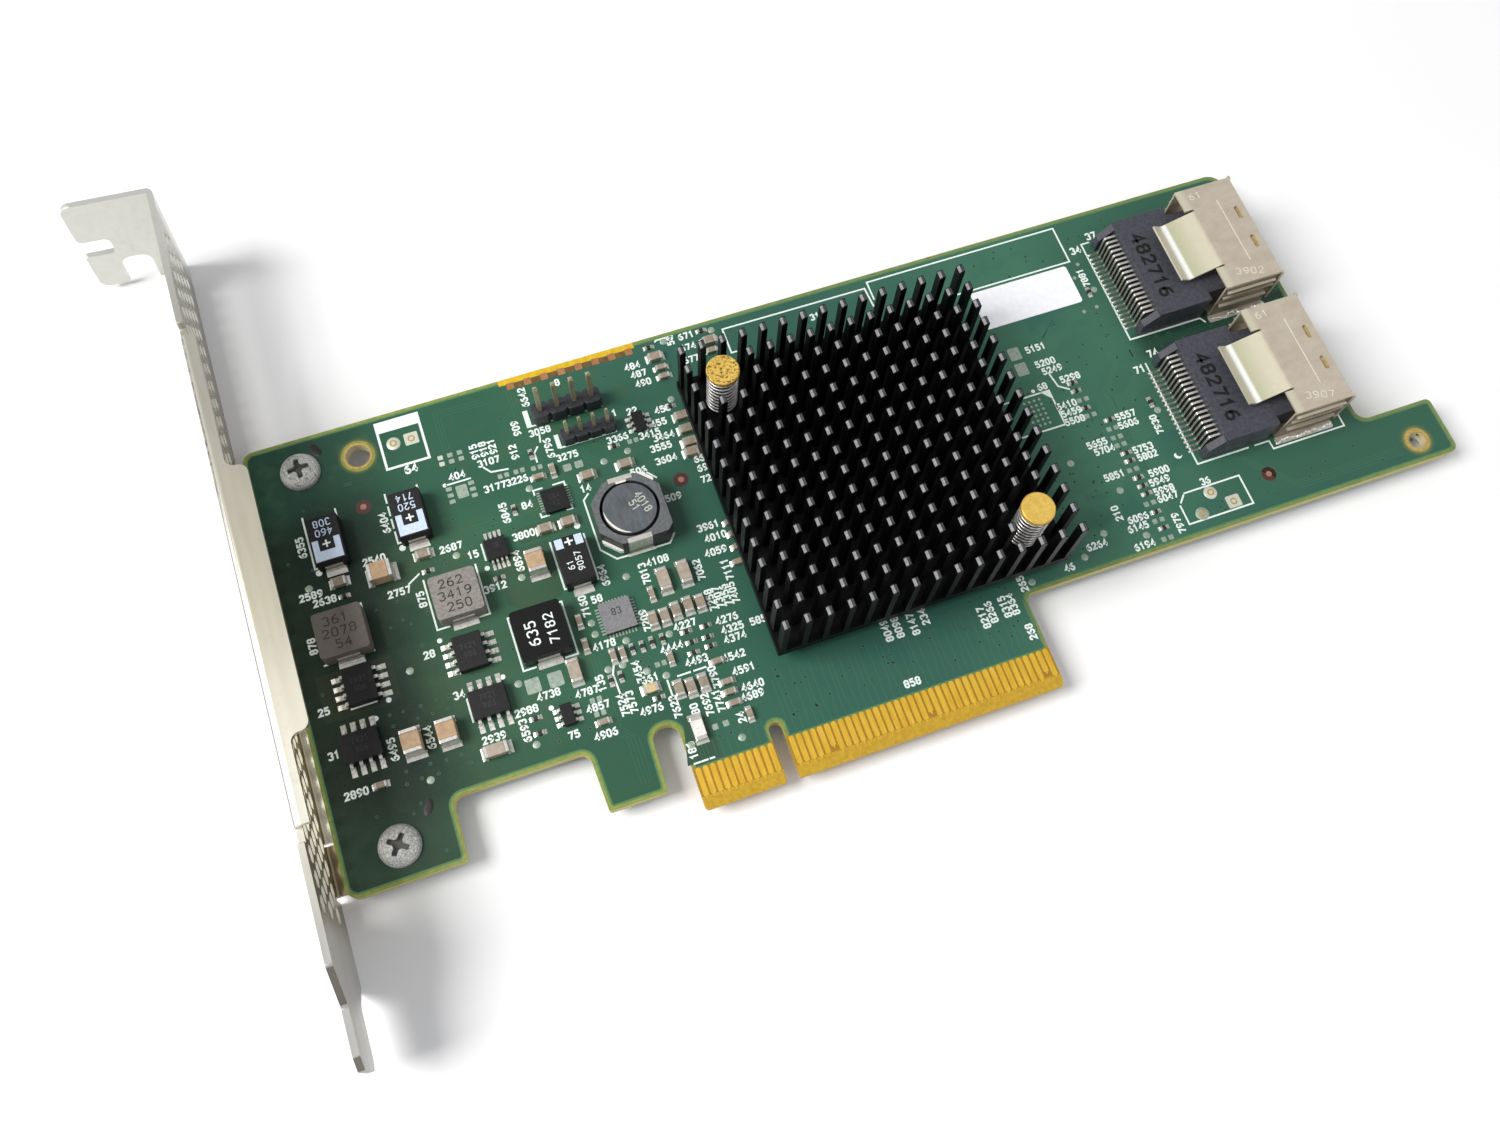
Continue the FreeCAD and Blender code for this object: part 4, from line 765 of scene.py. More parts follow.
# ------------------------------------------------------------------ edge contacts with round upper ends and narrow feet, both faces
fingers = Shape()
for i in range(1, 50):
    x = (i - 12.5) if i <= 11 else (i - 10.5)
    for top_face in (True, False):
        y0 = 2.5 if (top_face and i in (17, 31, 48)) or (not top_face and i == 1) else 1.72
        z0, z1 = (0.0, 0.04) if top_face else (-BT - 0.04, -BT)
        pts = [(x - 0.11, y0), (x - 0.09, y0 - 0.3), (x - 0.05, y0 - 0.36), (x + 0.05, y0 - 0.36), (x + 0.09, y0 - 0.3), (x + 0.11, y0), (x + 0.22, y0), (x + 0.33, y0 + 0.07), (x + 0.36, y0 + 0.2)]
        pts += [(x + 0.36 * math.cos(math.radians(a)), 5.24 + 0.36 * math.sin(math.radians(a))) for a in range(0, 181, 20)]
        pts += [(x - 0.36, y0 + 0.2), (x - 0.33, y0 + 0.07), (x - 0.22, y0)]
        fingers.prism(pts, z0, z1)
piece("contact_fingers", fingers, gold.m, ("edge_contacts",))

# ------------------------------------------------------------------ copper areas, traces and vias under the varnish
areas = Shape()
for pts in (
    [(-28.6, 35.4), (-27.4, 34.2), (-21.4, 34.2), (-21.0, 34.8), (-21.0, 42.8), (-28.6, 42.8)], [(-24.6, 43.2), (-15.4, 43.2), (-15.4, 45.6), (-24.6, 45.6)],
    [(-55.6, 27.0), (-46.4, 27.0), (-45.4, 28.0), (-45.4, 33.6), (-55.6, 33.6)], [(-12.6, 6.2), (-8.0, 6.2), (-8.0, 12.4), (-11.2, 12.4)],
):
    areas.prism(pts, MASK_Z - 0.004, MASK_Z + 0.002)
piece("board_copper_areas", areas, green_olive.m)

traces = Shape()


def bundle(path, count, dx, dy, w=0.13, z0=MASK_Z - 0.004, z1=MASK_Z + 0.006):
    for k in range(count):
        traces.ribbon([(x + dx * k, y + dy * k) for x, y in path], w, z0, z1)


bundle([(46.6, 44.6), (56.0, 44.6), (61.2, 49.4), (70.2, 49.4)], 9, 0.0, 0.42)
bundle([(46.6, 50.2), (58.4, 50.2), (60.0, 51.8), (70.4, 51.8)], 5, 0.0, 0.36)
bundle([(46.6, 26.6), (52.0, 26.6), (56.0, 30.2), (70.6, 30.2)], 8, 0.0, 0.42)
bundle([(46.6, 20.4), (50.8, 20.4), (53.4, 22.8), (57.6, 22.8), (60.4, 25.6), (70.6, 25.6)], 8, 0.0, 0.36)
bundle([(63.8, 35.8), (66.4, 35.8), (68.6, 38.0), (70.8, 38.0)], 6, 0.0, 0.4)
bundle([(63.2, 17.0), (63.2, 39.0), (66.6, 42.6), (66.6, 44.8)], 3, 0.42, 0.0)
bundle([(47.6, 53.6), (47.6, 60.0), (49.4, 61.8), (49.4, 67.0)], 4, 0.5, 0.0)
bundle([(56.6, 29.0), (50.2, 22.6), (50.2, 15.6)], 5, -0.44, 0.0)
for i in range(12, 50):
    x = i - 10.5
    j = 0.28 * math.sin(i * 1.7)
    traces.ribbon([(x, 5.7), (x, 7.6 + (i % 3) * 0.5), (x + j, 8.3 + (i % 3) * 0.5), (x + j, 13.6 + (i % 4) * 0.4)], 0.13, MASK_Z - 0.004, MASK_Z + 0.006)
for i in range(1, 12):
    x = i - 12.5
    traces.ribbon([(x, 5.7), (x, 8.2 + (i % 3) * 0.6)], 0.13, MASK_Z - 0.004, MASK_Z + 0.006)
bundle([(-28.4, 58.0), (-22.8, 58.0), (-20.0, 60.8), (-20.0, 67.2)], 5, 0.5, -0.34)
bundle([(-12.4, 55.0), (-12.4, 52.6), (-10.8, 51.4), (-4.0, 51.4)], 3, 0.36, 0.36)
bundle([(-30.0, 46.0), (-24.4, 46.0), (-22.6, 47.6), (-20.8, 47.6)], 5, 0.0, 0.5)
bundle([(-20.8, 24.2), (-20.8, 14.0), (-19.0, 12.2), (-19.0, 6.0)], 4, 0.5, 0.0)
bundle([(-11.6, 22.8), (-11.6, 14.4), (-10.4, 13.2), (-10.4, 6.4)], 2, 0.4, 0.0)
bundle([(-2.8, 25.0), (2.4, 25.0), (3.6, 26.2), (3.6, 34.0)], 4, 0.4, -0.4)
bundle([(78.0, 21.6), (84.0, 15.6), (100.6, 15.6)], 4, 0.0, 0.4)
bundle([(70.0, 43.4), (70.0, 44.6), (72.0, 44.6), (95.6, 44.6)], 3, 0.0, -0.4)
bundle([(-31.0, 60.4), (-31.0, 66.8), (-24.0, 66.8)], 3, 0.45, -0.45)
bundle([(5.6, 60.8), (5.6, 66.0)], 5, 0.45, 0.0)
# underside
ZU0, ZU1 = -BT - MASK_Z - 0.006, -BT - MASK_Z + 0.004
for k in range(14):
    traces.ribbon([(-30 + k * 0.6, 60 - k * 0.6), (4, 60 - k * 0.6), (20, 44 - k * 0.6), (66 - k, 44 - k * 0.6)], 0.16, ZU0, ZU1)
for k in range(10):
    traces.ribbon([(2 + k * 3.4, 6.2), (2 + k * 3.4, 12 + k * 0.4), (6 + k * 3.2, 17 + k * 0.4), (6 + k * 3.2, 26)], 0.16, ZU0, ZU1)
    traces.ribbon([(56, 19 + k * 0.5), (62, 19 + k * 0.5), (70, 27 + k * 0.5), (92 - k * 0.7, 27 + k * 0.5)], 0.16, ZU0, ZU1)
piece("board_traces", traces, green_lift.m)

VIAS = [(-47.5, 25.5), (-45.7, 25.4), (-43.3, 25.4), (-41.3, 25.5), (-39.5, 25.5), (-47.4, 23.9), (-44.1, 23.9), (-42.1, 23.9), (-40.1, 23.9), (-47.3, 17.5), (-44.1, 17.5),
        (-42.0, 17.3), (-40.0, 17.3), (-47.6, 15.9), (-45.6, 16.0), (-43.4, 15.9), (-39.1, 15.9), (-45.7, 40.3), (-42.7, 40.6), (-44.4, 37.2), (-42.6, 37.8), (-41.7, 36.9),
        (-7.3, 8.6), (-5.8, 8.6), (58.6, 34.6), (54.4, 34.1), (54.5, 24.0), (56.7, 24.0), (56.7, 25.7), (55.5, 26.0), (54.4, 21.0), (52.9, 28.4)]
ZONES = [(-56, -30, 28, 60, 34), (-32, 4, 40, 66, 40), (-30, 3, 14, 36, 44), (47, 70, 16, 52, 64), (2, 38, 8, 16, 46), (46, 96, 61.5, 67, 26), (71, 107, 15.2, 21.5, 18), (74, 96, 42.5, 46, 14), (-56, -44, 6, 14, 8)]
for x0, x1, y0, y1, n in ZONES:
    VIAS += [(rng.uniform(x0, x1), rng.uniform(y0, y1)) for _ in range(n)]
rings, holes = Shape(), Shape()
for x, y in VIAS:
    r = rng.uniform(0.2, 0.27)
    rings.disc(x, y, r, MASK_Z - 0.004, MASK_Z + 0.005, 10)
    holes.disc(x + rng.uniform(-0.03, 0.03), y, r * 0.6, MASK_Z - 0.002, MASK_Z + 0.008, 8)
    rings.disc(x, y, r, -BT - MASK_Z - 0.005, -BT - MASK_Z + 0.004, 10)
    holes.disc(x, y, r * 0.52, -BT - MASK_Z - 0.008, -BT - MASK_Z + 0.002, 8)
piece("via_rings", rings, via_ring.m)
piece("via_holes", holes, via_dark.m)

# ------------------------------------------------------------------ white print: numbers, outlines and dots
print_top = Shape()
P0, P1 = TOP, TOP + 0.022
TEXT_H = [
    (-36.0, 59.3, 2, 1.3), (-44.2, 47.5, 4), (-53.5, 45.1, 4), (-51.9, 43.8, 4), (-33.8, 45.9, 4), (-31.2, 43.9, 2), (-42.1, 41.8, 4), (-55.5, 28.7, 2), (-40.5, 31.9, 2),
    (-55.6, 22.6, 2), (-38.2, 25.2, 2), (-54.0, 16.8, 4), (-35.4, 18.1, 4), (-30.4, 20.2, 4), (-12.6, 66.0, 1), (-17.2, 59.2, 4), (-25.4, 56.9, 4), (-30.2, 56.2, 3),
    (-25.6, 52.8, 4), (-22.4, 52.8, 4), (-14.6, 54.2, 4), (-6.2, 58.6, 1), (-3.7, 58.1, 2), (-7.0, 54.6, 4), (-2.4, 53.8, 4), (-0.6, 52.8, 4), (-0.6, 55.1, 3), (0.6, 57.0, 3),
    (-1.5, 51.3, 4), (-1.4, 49.2, 4), (3.1, 47.8, 2), (3.1, 46.3, 2), (3.0, 44.5, 2), (-1.4, 65.1, 3), (-0.9, 63.6, 3), (-0.7, 62.0, 3), (-22.1, 48.7, 2), (-23.8, 44.5, 4),
    (-13.6, 48.5, 2), (-5.7, 48.7, 3), (-2.3, 43.3, 3), (-29.6, 38.3, 4), (0.9, 37.5, 4), (1.4, 35.7, 4), (0.7, 33.6, 4), (-7.4, 34.9, 4), (-17.0, 32.2, 2), (-18.0, 25.6, 4),
    (-6.8, 24.8, 4), (-1.1, 23.8, 4), (-0.8, 22.3, 4), (-0.9, 20.9, 4), (2.9, 22.2, 3), (-9.5, 22.3, 4), (-6.9, 19.5, 4), (-1.9, 18.5, 4), (-1.3, 16.3, 4), (-0.9, 13.8, 4),
    (-1.4, 12.5, 4), (-27.0, 21.4, 4), (-22.1, 20.1, 4), (-25.4, 15.1, 2), (-21.3, 17.7, 4), (-21.4, 13.8, 4), (-13.6, 19.1, 3), (-14.7, 15.0, 4), (7.7, 67.5, 3), (7.4, 65.6, 3),
    (7.2, 63.5, 3), (27.1, 64.5, 2), (69.6, 62.8, 2, 1.2), (73.0, 64.5, 2, 1.2), (56.6, 49.0, 4), (57.0, 46.3, 4), (57.5, 44.9, 4), (59.5, 42.8, 4), (54.9, 42.7, 2),
    (70.0, 40.7, 2, 1.2), (73.1, 42.6, 2, 1.2), (57.1, 38.8, 4), (57.3, 37.5, 4), (57.2, 36.1, 4), (64.7, 34.5, 4), (64.5, 33.1, 4), (58.7, 31.6, 4), (59.3, 30.3, 4),
    (64.8, 28.8, 4), (64.9, 27.5, 4), (58.9, 26.1, 4), (65.4, 24.7, 4), (64.8, 23.3, 4), (64.8, 21.8, 4), (64.8, 20.6, 4), (59.3, 19.0, 4), (58.7, 17.7, 4), (58.4, 14.9, 4),
    (71.1, 21.1, 2), (51.9, 17.1, 4), (46.8, 15.3, 2), (19.6, 7.1, 3)]
TEXT_V = [
    (-53.2, 52.4, 4), (-41.5, 52.4, 4), (-39.5, 39.8, 3), (-54.9, 38.0, 3), (-48.2, 20.9, 4), (-43.3, 20.9, 4), (-31.3, 17.7, 4), (-17.9, 65.2, 4), (-20.3, 60.7, 3), (-21.6, 57.2, 3),
    (-26.9, 59.0, 3), (-25.6, 59.0, 3), (-24.3, 59.0, 3), (-16.7, 56.2, 4), (-25.4, 48.5, 4), (-25.6, 41.0, 4), (5.2, 67.4, 2), (-15.1, 35.2, 4), (-9.7, 33.6, 4), (-2.4, 31.7, 4),
    (1.3, 30.5, 4), (-18.9, 31.7, 4), (-11.7, 27.1, 4), (-2.3, 27.0, 4), (-1.2, 27.0, 4), (-0.1, 27.0, 4), (1.0, 27.0, 4), (-14.8, 20.5, 4), (-20.0, 20.6, 3), (-18.1, 16.8, 4),
    (-16.9, 16.8, 4), (-11.6, 14.3, 4), (-9.3, 13.2, 2), (-7.5, 13.2, 4), (-5.9, 13.2, 4), (-5.4, 16.5, 4), (-3.8, 10.1, 2), (-11.4, 8.0, 3), (68.7, 57.9, 4), (68.4, 31.6, 4),
    (64.5, 16.4, 4), (56.7, 20.6, 3), (19.0, 15.0, 4), (20.6, 15.0, 4), (22.8, 14.7, 4), (24.6, 15.2, 3), (32.4, 12.4, 4), (33.7, 12.8, 4), (35.8, 12.9, 4), (37.0, 12.9, 4),
    (39.5, 15.2, 3), (37.8, 8.4, 3)]
serial = 210


def next_number(n):
    global serial
    serial += 7 if n == 4 else 3
    return {1: str(1 + serial % 8), 2: str(11 + serial % 80), 3: str(100 + serial % 890), 4: str(1000 + (serial * 7) % 8900)}[n]


for items, turn in ((TEXT_H, 0.0), (TEXT_V, 90.0)):
    for it in items:
        h = it[3] * 0.86 if len(it) > 3 else 0.92
        digits(print_top, next_number(it[2]), it[0], it[1], h, 0.82 * h / 0.92, 0.245 * h / 0.92, P0, P1, turn)

LINES = [
    [(-38.6, 42.4), (-38.6, 34.85), (-36.9, 34.85)], [(-33.0, 34.85), (-31.3, 34.85), (-31.3, 42.4)], [(-47.4, 42.0), (-47.4, 35.0)], [(-54.0, 34.85), (-52.7, 34.85)],
    [(-48.5, 34.85), (-47.2, 34.85)], [(-52.0, 27.9), (-48.6, 27.9)], [(-37.3, 28.0), (-33.8, 28.0)], [(-49.4, 21.0), (-49.4, 24.0)], [(-37.4, 21.0), (-37.4, 24.3)],
    [(-52.1, 56.7), (-52.1, 48.7), (-51.3, 48.7)], [(-48.2, 48.7), (-47.5, 48.7), (-47.5, 56.7)], [(-40.5, 56.6), (-40.5, 55.2)], [(-40.5, 54.6), (-40.5, 53.2)], [(-40.5, 52.6), (-40.5, 51.2)],
    [(-40.5, 50.6), (-40.5, 48.8), (-39.9, 48.8)], [(-36.7, 48.7), (-35.9, 48.7), (-35.9, 56.6)], [(-20.7, 42.2), (-20.7, 34.9), (-19.7, 34.9)], [(-16.9, 34.9), (-15.9, 34.9), (-15.9, 42.0)],
    [(-40.6, 42.5), (-38.9, 43.5)], [(-18.4, 60.3), (-7.6, 60.3), (-7.6, 61.3)], [(-15.2, 55.7), (-6.8, 55.7), (-6.8, 56.6)], [(-17.4, 58.6), (-17.6, 57.5)],
    [(-18.2, 56.9), (-18.9, 56.1), (-18.9, 54.6)], [(-26.3, 56.2), (-25.5, 55.2), (-23.1, 54.9)], [(-32.0, 55.2), (-28.5, 55.2)],
    [(-20.7, 49.8), (-20.7, 50.5), (-19.4, 50.5)], [(-17.8, 50.5), (-16.2, 50.5), (-16.2, 49.9)], [(-20.7, 46.8), (-20.7, 46.2), (-19.6, 46.2)], [(-17.0, 46.2), (-16.2, 46.2), (-16.2, 46.8)],
    [(-13.5, 47.6), (-14.4, 46.8), (-14.4, 38.9), (-12.6, 36.9), (-4.9, 36.8), (-3.9, 38.0)], [(-5.0, 48.5), (-3.6, 46.9)], [(-17.5, 22.8), (-18.1, 21.3), (-18.0, 18.3)],
    [(-10.0, 18.2), (-8.2, 18.2)], [(-7.7, 18.2), (-6.0, 18.2)], [(-11.5, 18.1), (-11.5, 15.4)], [(-11.7, 6.2), (-10.8, 6.2)], [(-10.6, 6.2), (-9.8, 6.2)], [(-9.5, 6.2), (-8.9, 6.2)],
    [(3.0, 67.9), (3.2, 68.1), (5.8, 68.1)], [(14.0, 62.6), (13.2, 62.6), (13.2, 66.8), (36.0, 66.7), (36.2, 63.4)], [(36.7, 64.5), (36.7, 67.6), (67.9, 67.6), (67.9, 61.25), (47.0, 61.25)],
    [(48.0, 41.8), (54.3, 41.8)], [(55.6, 40.3), (55.6, 35.9), (48.0, 35.9)], [(56.8, 44.2), (57.2, 42.0), (58.6, 41.0)],
    [(72.2, 63.5), (70.9, 63.5), (70.9, 45.75), (82.7, 45.75), (83.2, 44.9)], [(71.3, 41.3), (71.3, 23.85), (79.6, 23.85)], [(80.7, 23.85), (83.0, 23.85), (83.1, 22.5), (94.9, 22.5), (94.9, 24.6)],
    [(67.3, 20.3), (76.2, 20.3), (76.2, 15.7), (65.9, 15.7), (65.9, 18.7)], [(66.2, 19.1), (67.1, 20.1)], [(-29.75, 42.5), (-29.75, 45.0)],
    [(-27.5, 25.55), (-29.25, 25.55), (-29.25, 33.4), (-28.4, 33.4)], [(-23.4, 25.55), (-21.65, 25.55), (-21.65, 33.4), (-22.5, 33.4)]]
for pts in LINES:
    print_top.ribbon(pts, 0.25, P0, P1)
print_top.ribbon([(-39.2, 60.2), (-33.1, 60.2), (-33.1, 67.0), (-39.2, 67.0)], 0.36, P0, P1, closed=True)
print_top.box(-39.38, -32.92, 66.0, 67.8, P0, P1 + 0.001)
print_top.box(-18.75, -18.0, 60.2, 63.0, P0, P1 + 0.001)
print_top.box(-15.55, -14.9, 55.7, 57.9, P0, P1 + 0.001)
print_top.prism([(54.2, 41.92), (55.72, 41.92), (55.72, 40.2)], P0, P1)
for x, y, r in [(-51.7, 48.0, .45), (-40.1, 47.95, .45), (-16.4, 43.4, .45), (-47.1, 27.55, .36), (-38.7, 33.3, .36), (-49.3, 25.65, .36), (-32.1, 25.7, .36), (-27.2, 19.5, .36),
                (-29.9, 41.3, .36), (53.3, 42.4, .3), (-2.6, 54.6, .32), (-32.2, 55.25, .3)]:
    print_top.disc(x, y, r, P0, P1, 16)
print_top.prism([(69.2 + 0.6 * math.cos(math.radians(a)), 26.1 + 0.6 * math.sin(math.radians(a))) for a in range(150, 331, 15)]
                + [(69.45 + 0.45 * math.cos(math.radians(a)), 26.25 + 0.45 * math.sin(math.radians(a))) for a in range(330, 149, -15)], P0, P1)
piece("board_print_top", print_top, ink.m)

print_under = Shape()
U0, U1 = -BT - MASK_Z - 0.022, -BT - MASK_Z - 0.002
for pts in ([(6, 20), (44, 20), (44, 56), (6, 56)], [(71, 24), (95, 24), (95, 64), (71, 64)], [(-19, 59.6), (-6, 59.6), (-6, 63), (-19, 63)]):
    print_under.ribbon(pts, 0.25, U0, U1, closed=True)
for x, y in [(-30 + 9 * k, 48 - 6 * (k % 3)) for k in range(5)] + [(52, 50), (58, 44), (52, 30), (60, 26)]:
    print_under.box(x, x + 2.6, y, y + 0.9, U0, U1)
piece("board_print_under", print_under, ink.m)

# blank label
label = Shape()
label.rounded(50.9, 66.9, 54.1, 60.7, 0.45, TOP, TOP + 0.08)
piece("blank_label", label, paper.m)

# ------------------------------------------------------------------ bare pads, test points, marks
pads = Shape()
Q0, Q1 = TOP, TOP + 0.02
for x, y, r in ((-37.4, 63.9, 1.0), (71.0, 19.2, 1.0), (68.4, 16.6, 1.0)):
    pads.dome(x, y, r, r, 0.16, Q0, 24, 4)
for x, y, w, h in ((-34.8, 63.9, 2.0, 1.9), (73.6, 16.9, 2.1, 1.9), (53.2, 49.0, 1.8, 2.1), (53.2, 46.3, 1.8, 2.1), (-28.6, 23.2, 2.0, 2.1), (-25.5, 23.1, 2.0, 2.1),
                   (-15.1, 52.4, 1.2, 1.1), (-13.4, 52.4, 1.2, 1.1), (-30.1, 53.6, 1.6, 2.0)):
    pads.rounded(x - w / 2, x + w / 2, y - h / 2, y + h / 2, 0.22, Q0, Q1 + 0.03)
for y in (33.1, 31.6, 30.3, 26.1, 20.5, 17.7, 14.8):
    for x in (61.35, 62.5):
        pads.rounded(x - 0.36, x + 0.36, y - 0.36, y + 0.36, 0.12, Q0, Q1)
for y in (38.8, 36.1):
    for x in (59.2, 60.35):
        pads.rounded(x - 0.36, x + 0.36, y - 0.36, y + 0.36, 0.12, Q0, Q1)
for x in (-31.7, -30.3, -28.9):
    for y in (58.6, 59.6):
        pads.rounded(x - 0.38, x + 0.38, y - 0.34, y + 0.34, 0.12, Q0, Q1)
for x, y in ((-24.0, 54.1), (-21.7, 54.1), (-19.2, 53.8), (-5.0, 53.5), (-11.6, 20.6), (-21.3, 18.7), (-21.3, 16.7)):
    for d in (-0.48, 0.48):
        pads.rounded(x + d - 0.33, x + d + 0.33, y - 0.36, y + 0.36, 0.12, Q0, Q1)
for x in (-31.8, -28.6):
    for y in (54.5, 53.5, 52.5):
        pads.rounded(x - 0.42, x + 0.42, y - 0.3, y + 0.3, 0.1, Q0, Q1)
for x in (-7.5, -6.0):
    pads.rounded(x - 0.4, x + 0.4, 9.6, 10.4, 0.12, Q0, Q1)
for i in range(4):
    for j in range(6):
        pads.disc(51.2 + 0.8 * i, 36.9 + 0.8 * j, 0.22, Q0, Q1, 10)
for j in range(8):
    pads.box(-20.45, -19.95, 46.9 + 0.41 * j, 47.12 + 0.41 * j, Q0, Q1)
    pads.box(-16.35, -15.85, 46.9 + 0.41 * j, 47.12 + 0.41 * j, Q0, Q1)
for j in range(9):
    d = -1.8 + 0.45 * j
    pads.box(-15.05 + d - 0.12, -15.05 + d + 0.12, 26.05, 26.75, Q0, Q1)
    pads.box(-15.05 + d - 0.12, -15.05 + d + 0.12, 30.9, 31.5, Q0, Q1)
    pads.box(-12.95, -12.3, 28.8 + d - 0.12, 28.8 + d + 0.12, Q0, Q1)
    pads.box(-17.8, -17.15, 28.8 + d - 0.12, 28.8 + d + 0.12, Q0, Q1)
TESTS = [(-53.5, 46.2), (-33.4, 44.5), (-43.5, 30.5), (-44.6, 15.4), (-30.4, 24.1), (-30.4, 15.4), (-21.1, 51.0), (-9.9, 51.7), (-6.2, 52.2), (2.3, 58.1), (-25.8, 38.5), (-12.2, 34.0), (-18.7, 29.1),
         (-18.7, 27.4), (-15.0, 25.2), (-9.2, 24.2), (-18.5, 22.1), (-16.5, 22.1), (-13.7, 20.2), (-11.4, 18.8), (-11.3, 8.7), (-4.6, 7.5), (11.6, 67.2), (4.2, 67.6), (69.4, 55.5), (69.6, 33.7),
         (53.6, 18.4), (49.5, 16.0), (59.3, 16.2), (58.7, 23.7), (53.7, 29.9), (40.9, 15.0)]
for x, y in TESTS:
    pads.dome(x, y, 0.52, 0.52, 0.07, Q0, 18, 3)
for x, y in ((68.9, 60.4), (67.4, 58.3), (68.5, 52.6), (66.3, 52.4)):
    pads.disc(x, y, 0.3, Q0, Q1, 12)
piece("bare_pads", pads, dim_pad.m)
pad_dots = Shape()
for x, y in ((-37.4, 63.9), (71.0, 19.2), (68.4, 16.6)):
    pad_dots.ring(x, y, 0.3, 0.52, Q0 + 0.12, Q0 + 0.17, 20)
for x, y in ((-34.8, 63.9), (73.6, 16.9)):
    pad_dots.ring(x, y, 0.3, 0.52, Q1 + 0.02, Q1 + 0.04, 20)
piece("pad_centres", pad_dots, ring_gold.m)

plated = Shape()
plated.ring(-42.6, 63.6, 1.7, 2.08, 0.0, 0.05, 48)
plated.ring(104.1, 16.9, 1.25, 1.9, 0.0, 0.05, 48)
plated.ring(-42.6, 63.6, 1.7, 2.2, -BT - 0.05, -BT, 48)
plated.ring(104.1, 16.9, 1.25, 1.9, -BT - 0.05, -BT, 48)
piece("plated_rings", plated, ring_gold.m)
band = Shape()
band.box(-20.8, -0.2, 67.95, 68.88, 0.0, MASK_Z + 0.01)
piece("edge_band", band, strip.m)
castles = Shape()
for x in (-19.2, -16.6, -14.1, -11.5, -8.9, -6.3, -3.8, -1.2):
    castles.rounded(x - 0.55, x + 0.55, 67.0, 68.1, 0.12, Q0, Q1 + 0.01)
piece("copper_squares", castles, copper.m)
between = Shape()
for x in (-17.9, -15.35, -12.8, -10.2, -7.6, -5.05, -2.5):
    between.rounded(x - 0.55, x + 0.55, 67.05, 68.0, 0.12, MASK_Z - 0.004, MASK_Z + 0.006)
piece("edge_brown_areas", between, copper_dark.m)
windows = Shape()
for x, y in ((-43.7, 55.7), (-0.4, 45.5), (80.5, 19.1)):
    windows.disc(x, y, 1.1, MASK_Z - 0.004, MASK_Z + 0.006, 28)
piece("fiducial_windows", windows, rust.m)
dots = Shape()
for x, y in ((-43.7, 55.7), (-0.4, 45.5), (80.5, 19.1)):
    dots.disc(x, y, 0.44, Q0, Q1 + 0.012, 20)
piece("fiducial_dots", dots, dot_copper.m)
marks = Shape()
marks.dome(-48.1, 66.5, 0.62, 1.0, 0.05, MASK_Z, 14, 3, 0.3)
marks.dome(-47.7, 65.9, 0.5, 0.6, 0.05, MASK_Z, 14, 3, -0.4)
marks.dome(-45.7, 12.1, 0.6, 1.2, 0.05, MASK_Z, 16, 3, -0.45)
piece("dark_marks", marks, smudge.m)

# ------------------------------------------------------------------ solder: fillets at chip ends, lead feet, blobs at the ports
joints = Shape()


def fillet(x, y, dx, dy, width, h, reach):
    """Concave solder slope from a terminal face at (x, y) outwards along (dx, dy)."""
    prof = [(-0.25, 0.0), (reach, 0.0), (reach, 0.04), (reach * 0.62, 0.05 + 0.1 * h), (reach * 0.28, 0.28 * h + 0.03), (0.02, 0.6 * h), (-0.03, 0.6 * h), (-0.03, 0.035), (-0.25, 0.035)]
    n = len(prof)
    v = []
    for side, sh in ((-1, 1.0), (1, 1.0)):
        for d, z in prof:
            w = width / 2 * (1.0 - 0.16 * min(1.0, z / max(h, 0.1)))
            v.append((x + dx * d - dy * side * w, y + dy * d + dx * side * w, z + MASK_Z * 0.5))
    f = [tuple(range(n)), tuple(range(2 * n - 1, n - 1, -1))]
    f += [(i, i + n, (i + 1) % n + n, (i + 1) % n) for i in range(n)]
    joints.add(v, f)


def chip_joint(x, y, ln, wd, ht, along_x, extra=0.45):
    for s in (-1, 1):
        e = extra * rng.uniform(0.85, 1.15)
        w = wd * rng.uniform(1.06, 1.16)
        if along_x:
            fillet(x + s * ln / 2, y, s, 0, w, ht * rng.uniform(0.8, 1.05), e)
        else:
            fillet(x, y + s * ln / 2, 0, s, w, ht * rng.uniform(0.8, 1.05), e)


LARGE = [(-43.65, 44.95, True), (-23.3, 39.6, False), (-45.45, 20.75, False), (-40.8, 20.55, False)]
MEDIUM = [(-35.5, 16.3, True), (-7.5, 31.7, False), (-4.5, 31.8, False), (-22.8, 23.2, False)]
SMALL = [(-37.6, 46.0, True), (-7.2, 50.2, True), (-12.8, 50.2, True), (-49.4, 45.7, True), (-17.4, 44.3, True), (-20.7, 44.3, True), (2.2, 65.3, True), (10.7, 65.4, True), (2.8, 54.9, True), (2.8, 52.7, True), (2.7, 50.6, True), (2.4, 49.0, True),
         (-10.7, 26.7, False), (-9.0, 26.7, False), (-7.3, 27.0, False), (-5.5, 27.2, False), (-3.8, 27.0, False), (-10.4, 16.4, False), (-8.8, 16.1, False), (-7.0, 16.2, False)]
TINY = [(-19.4, 52.2, True), (2.5, 63.4, True), (2.5, 61.9, True), (-17.2, 52.6, False), (-17.3, 23.6, False), (-10.1, 20.8, False), (-2.6, 10.1, False), (-20.2, 29.8, False), (-20.4, 26.2, False),
        (-16.0, 23.55, False), (-21.2, 15.4, True), (-4.3, 18.4, True), (-4.0, 15.3, True), (-4.1, 13.85, True), (-4.0, 12.25, True), (4.0, 37.0, True), (4.0, 35.2, True), (3.9, 33.2, True),
        (3.1, 31.0, True), (-9.7, 30.4, False), (-50.75, 16.8, True), (10.5, 63.75, True)]
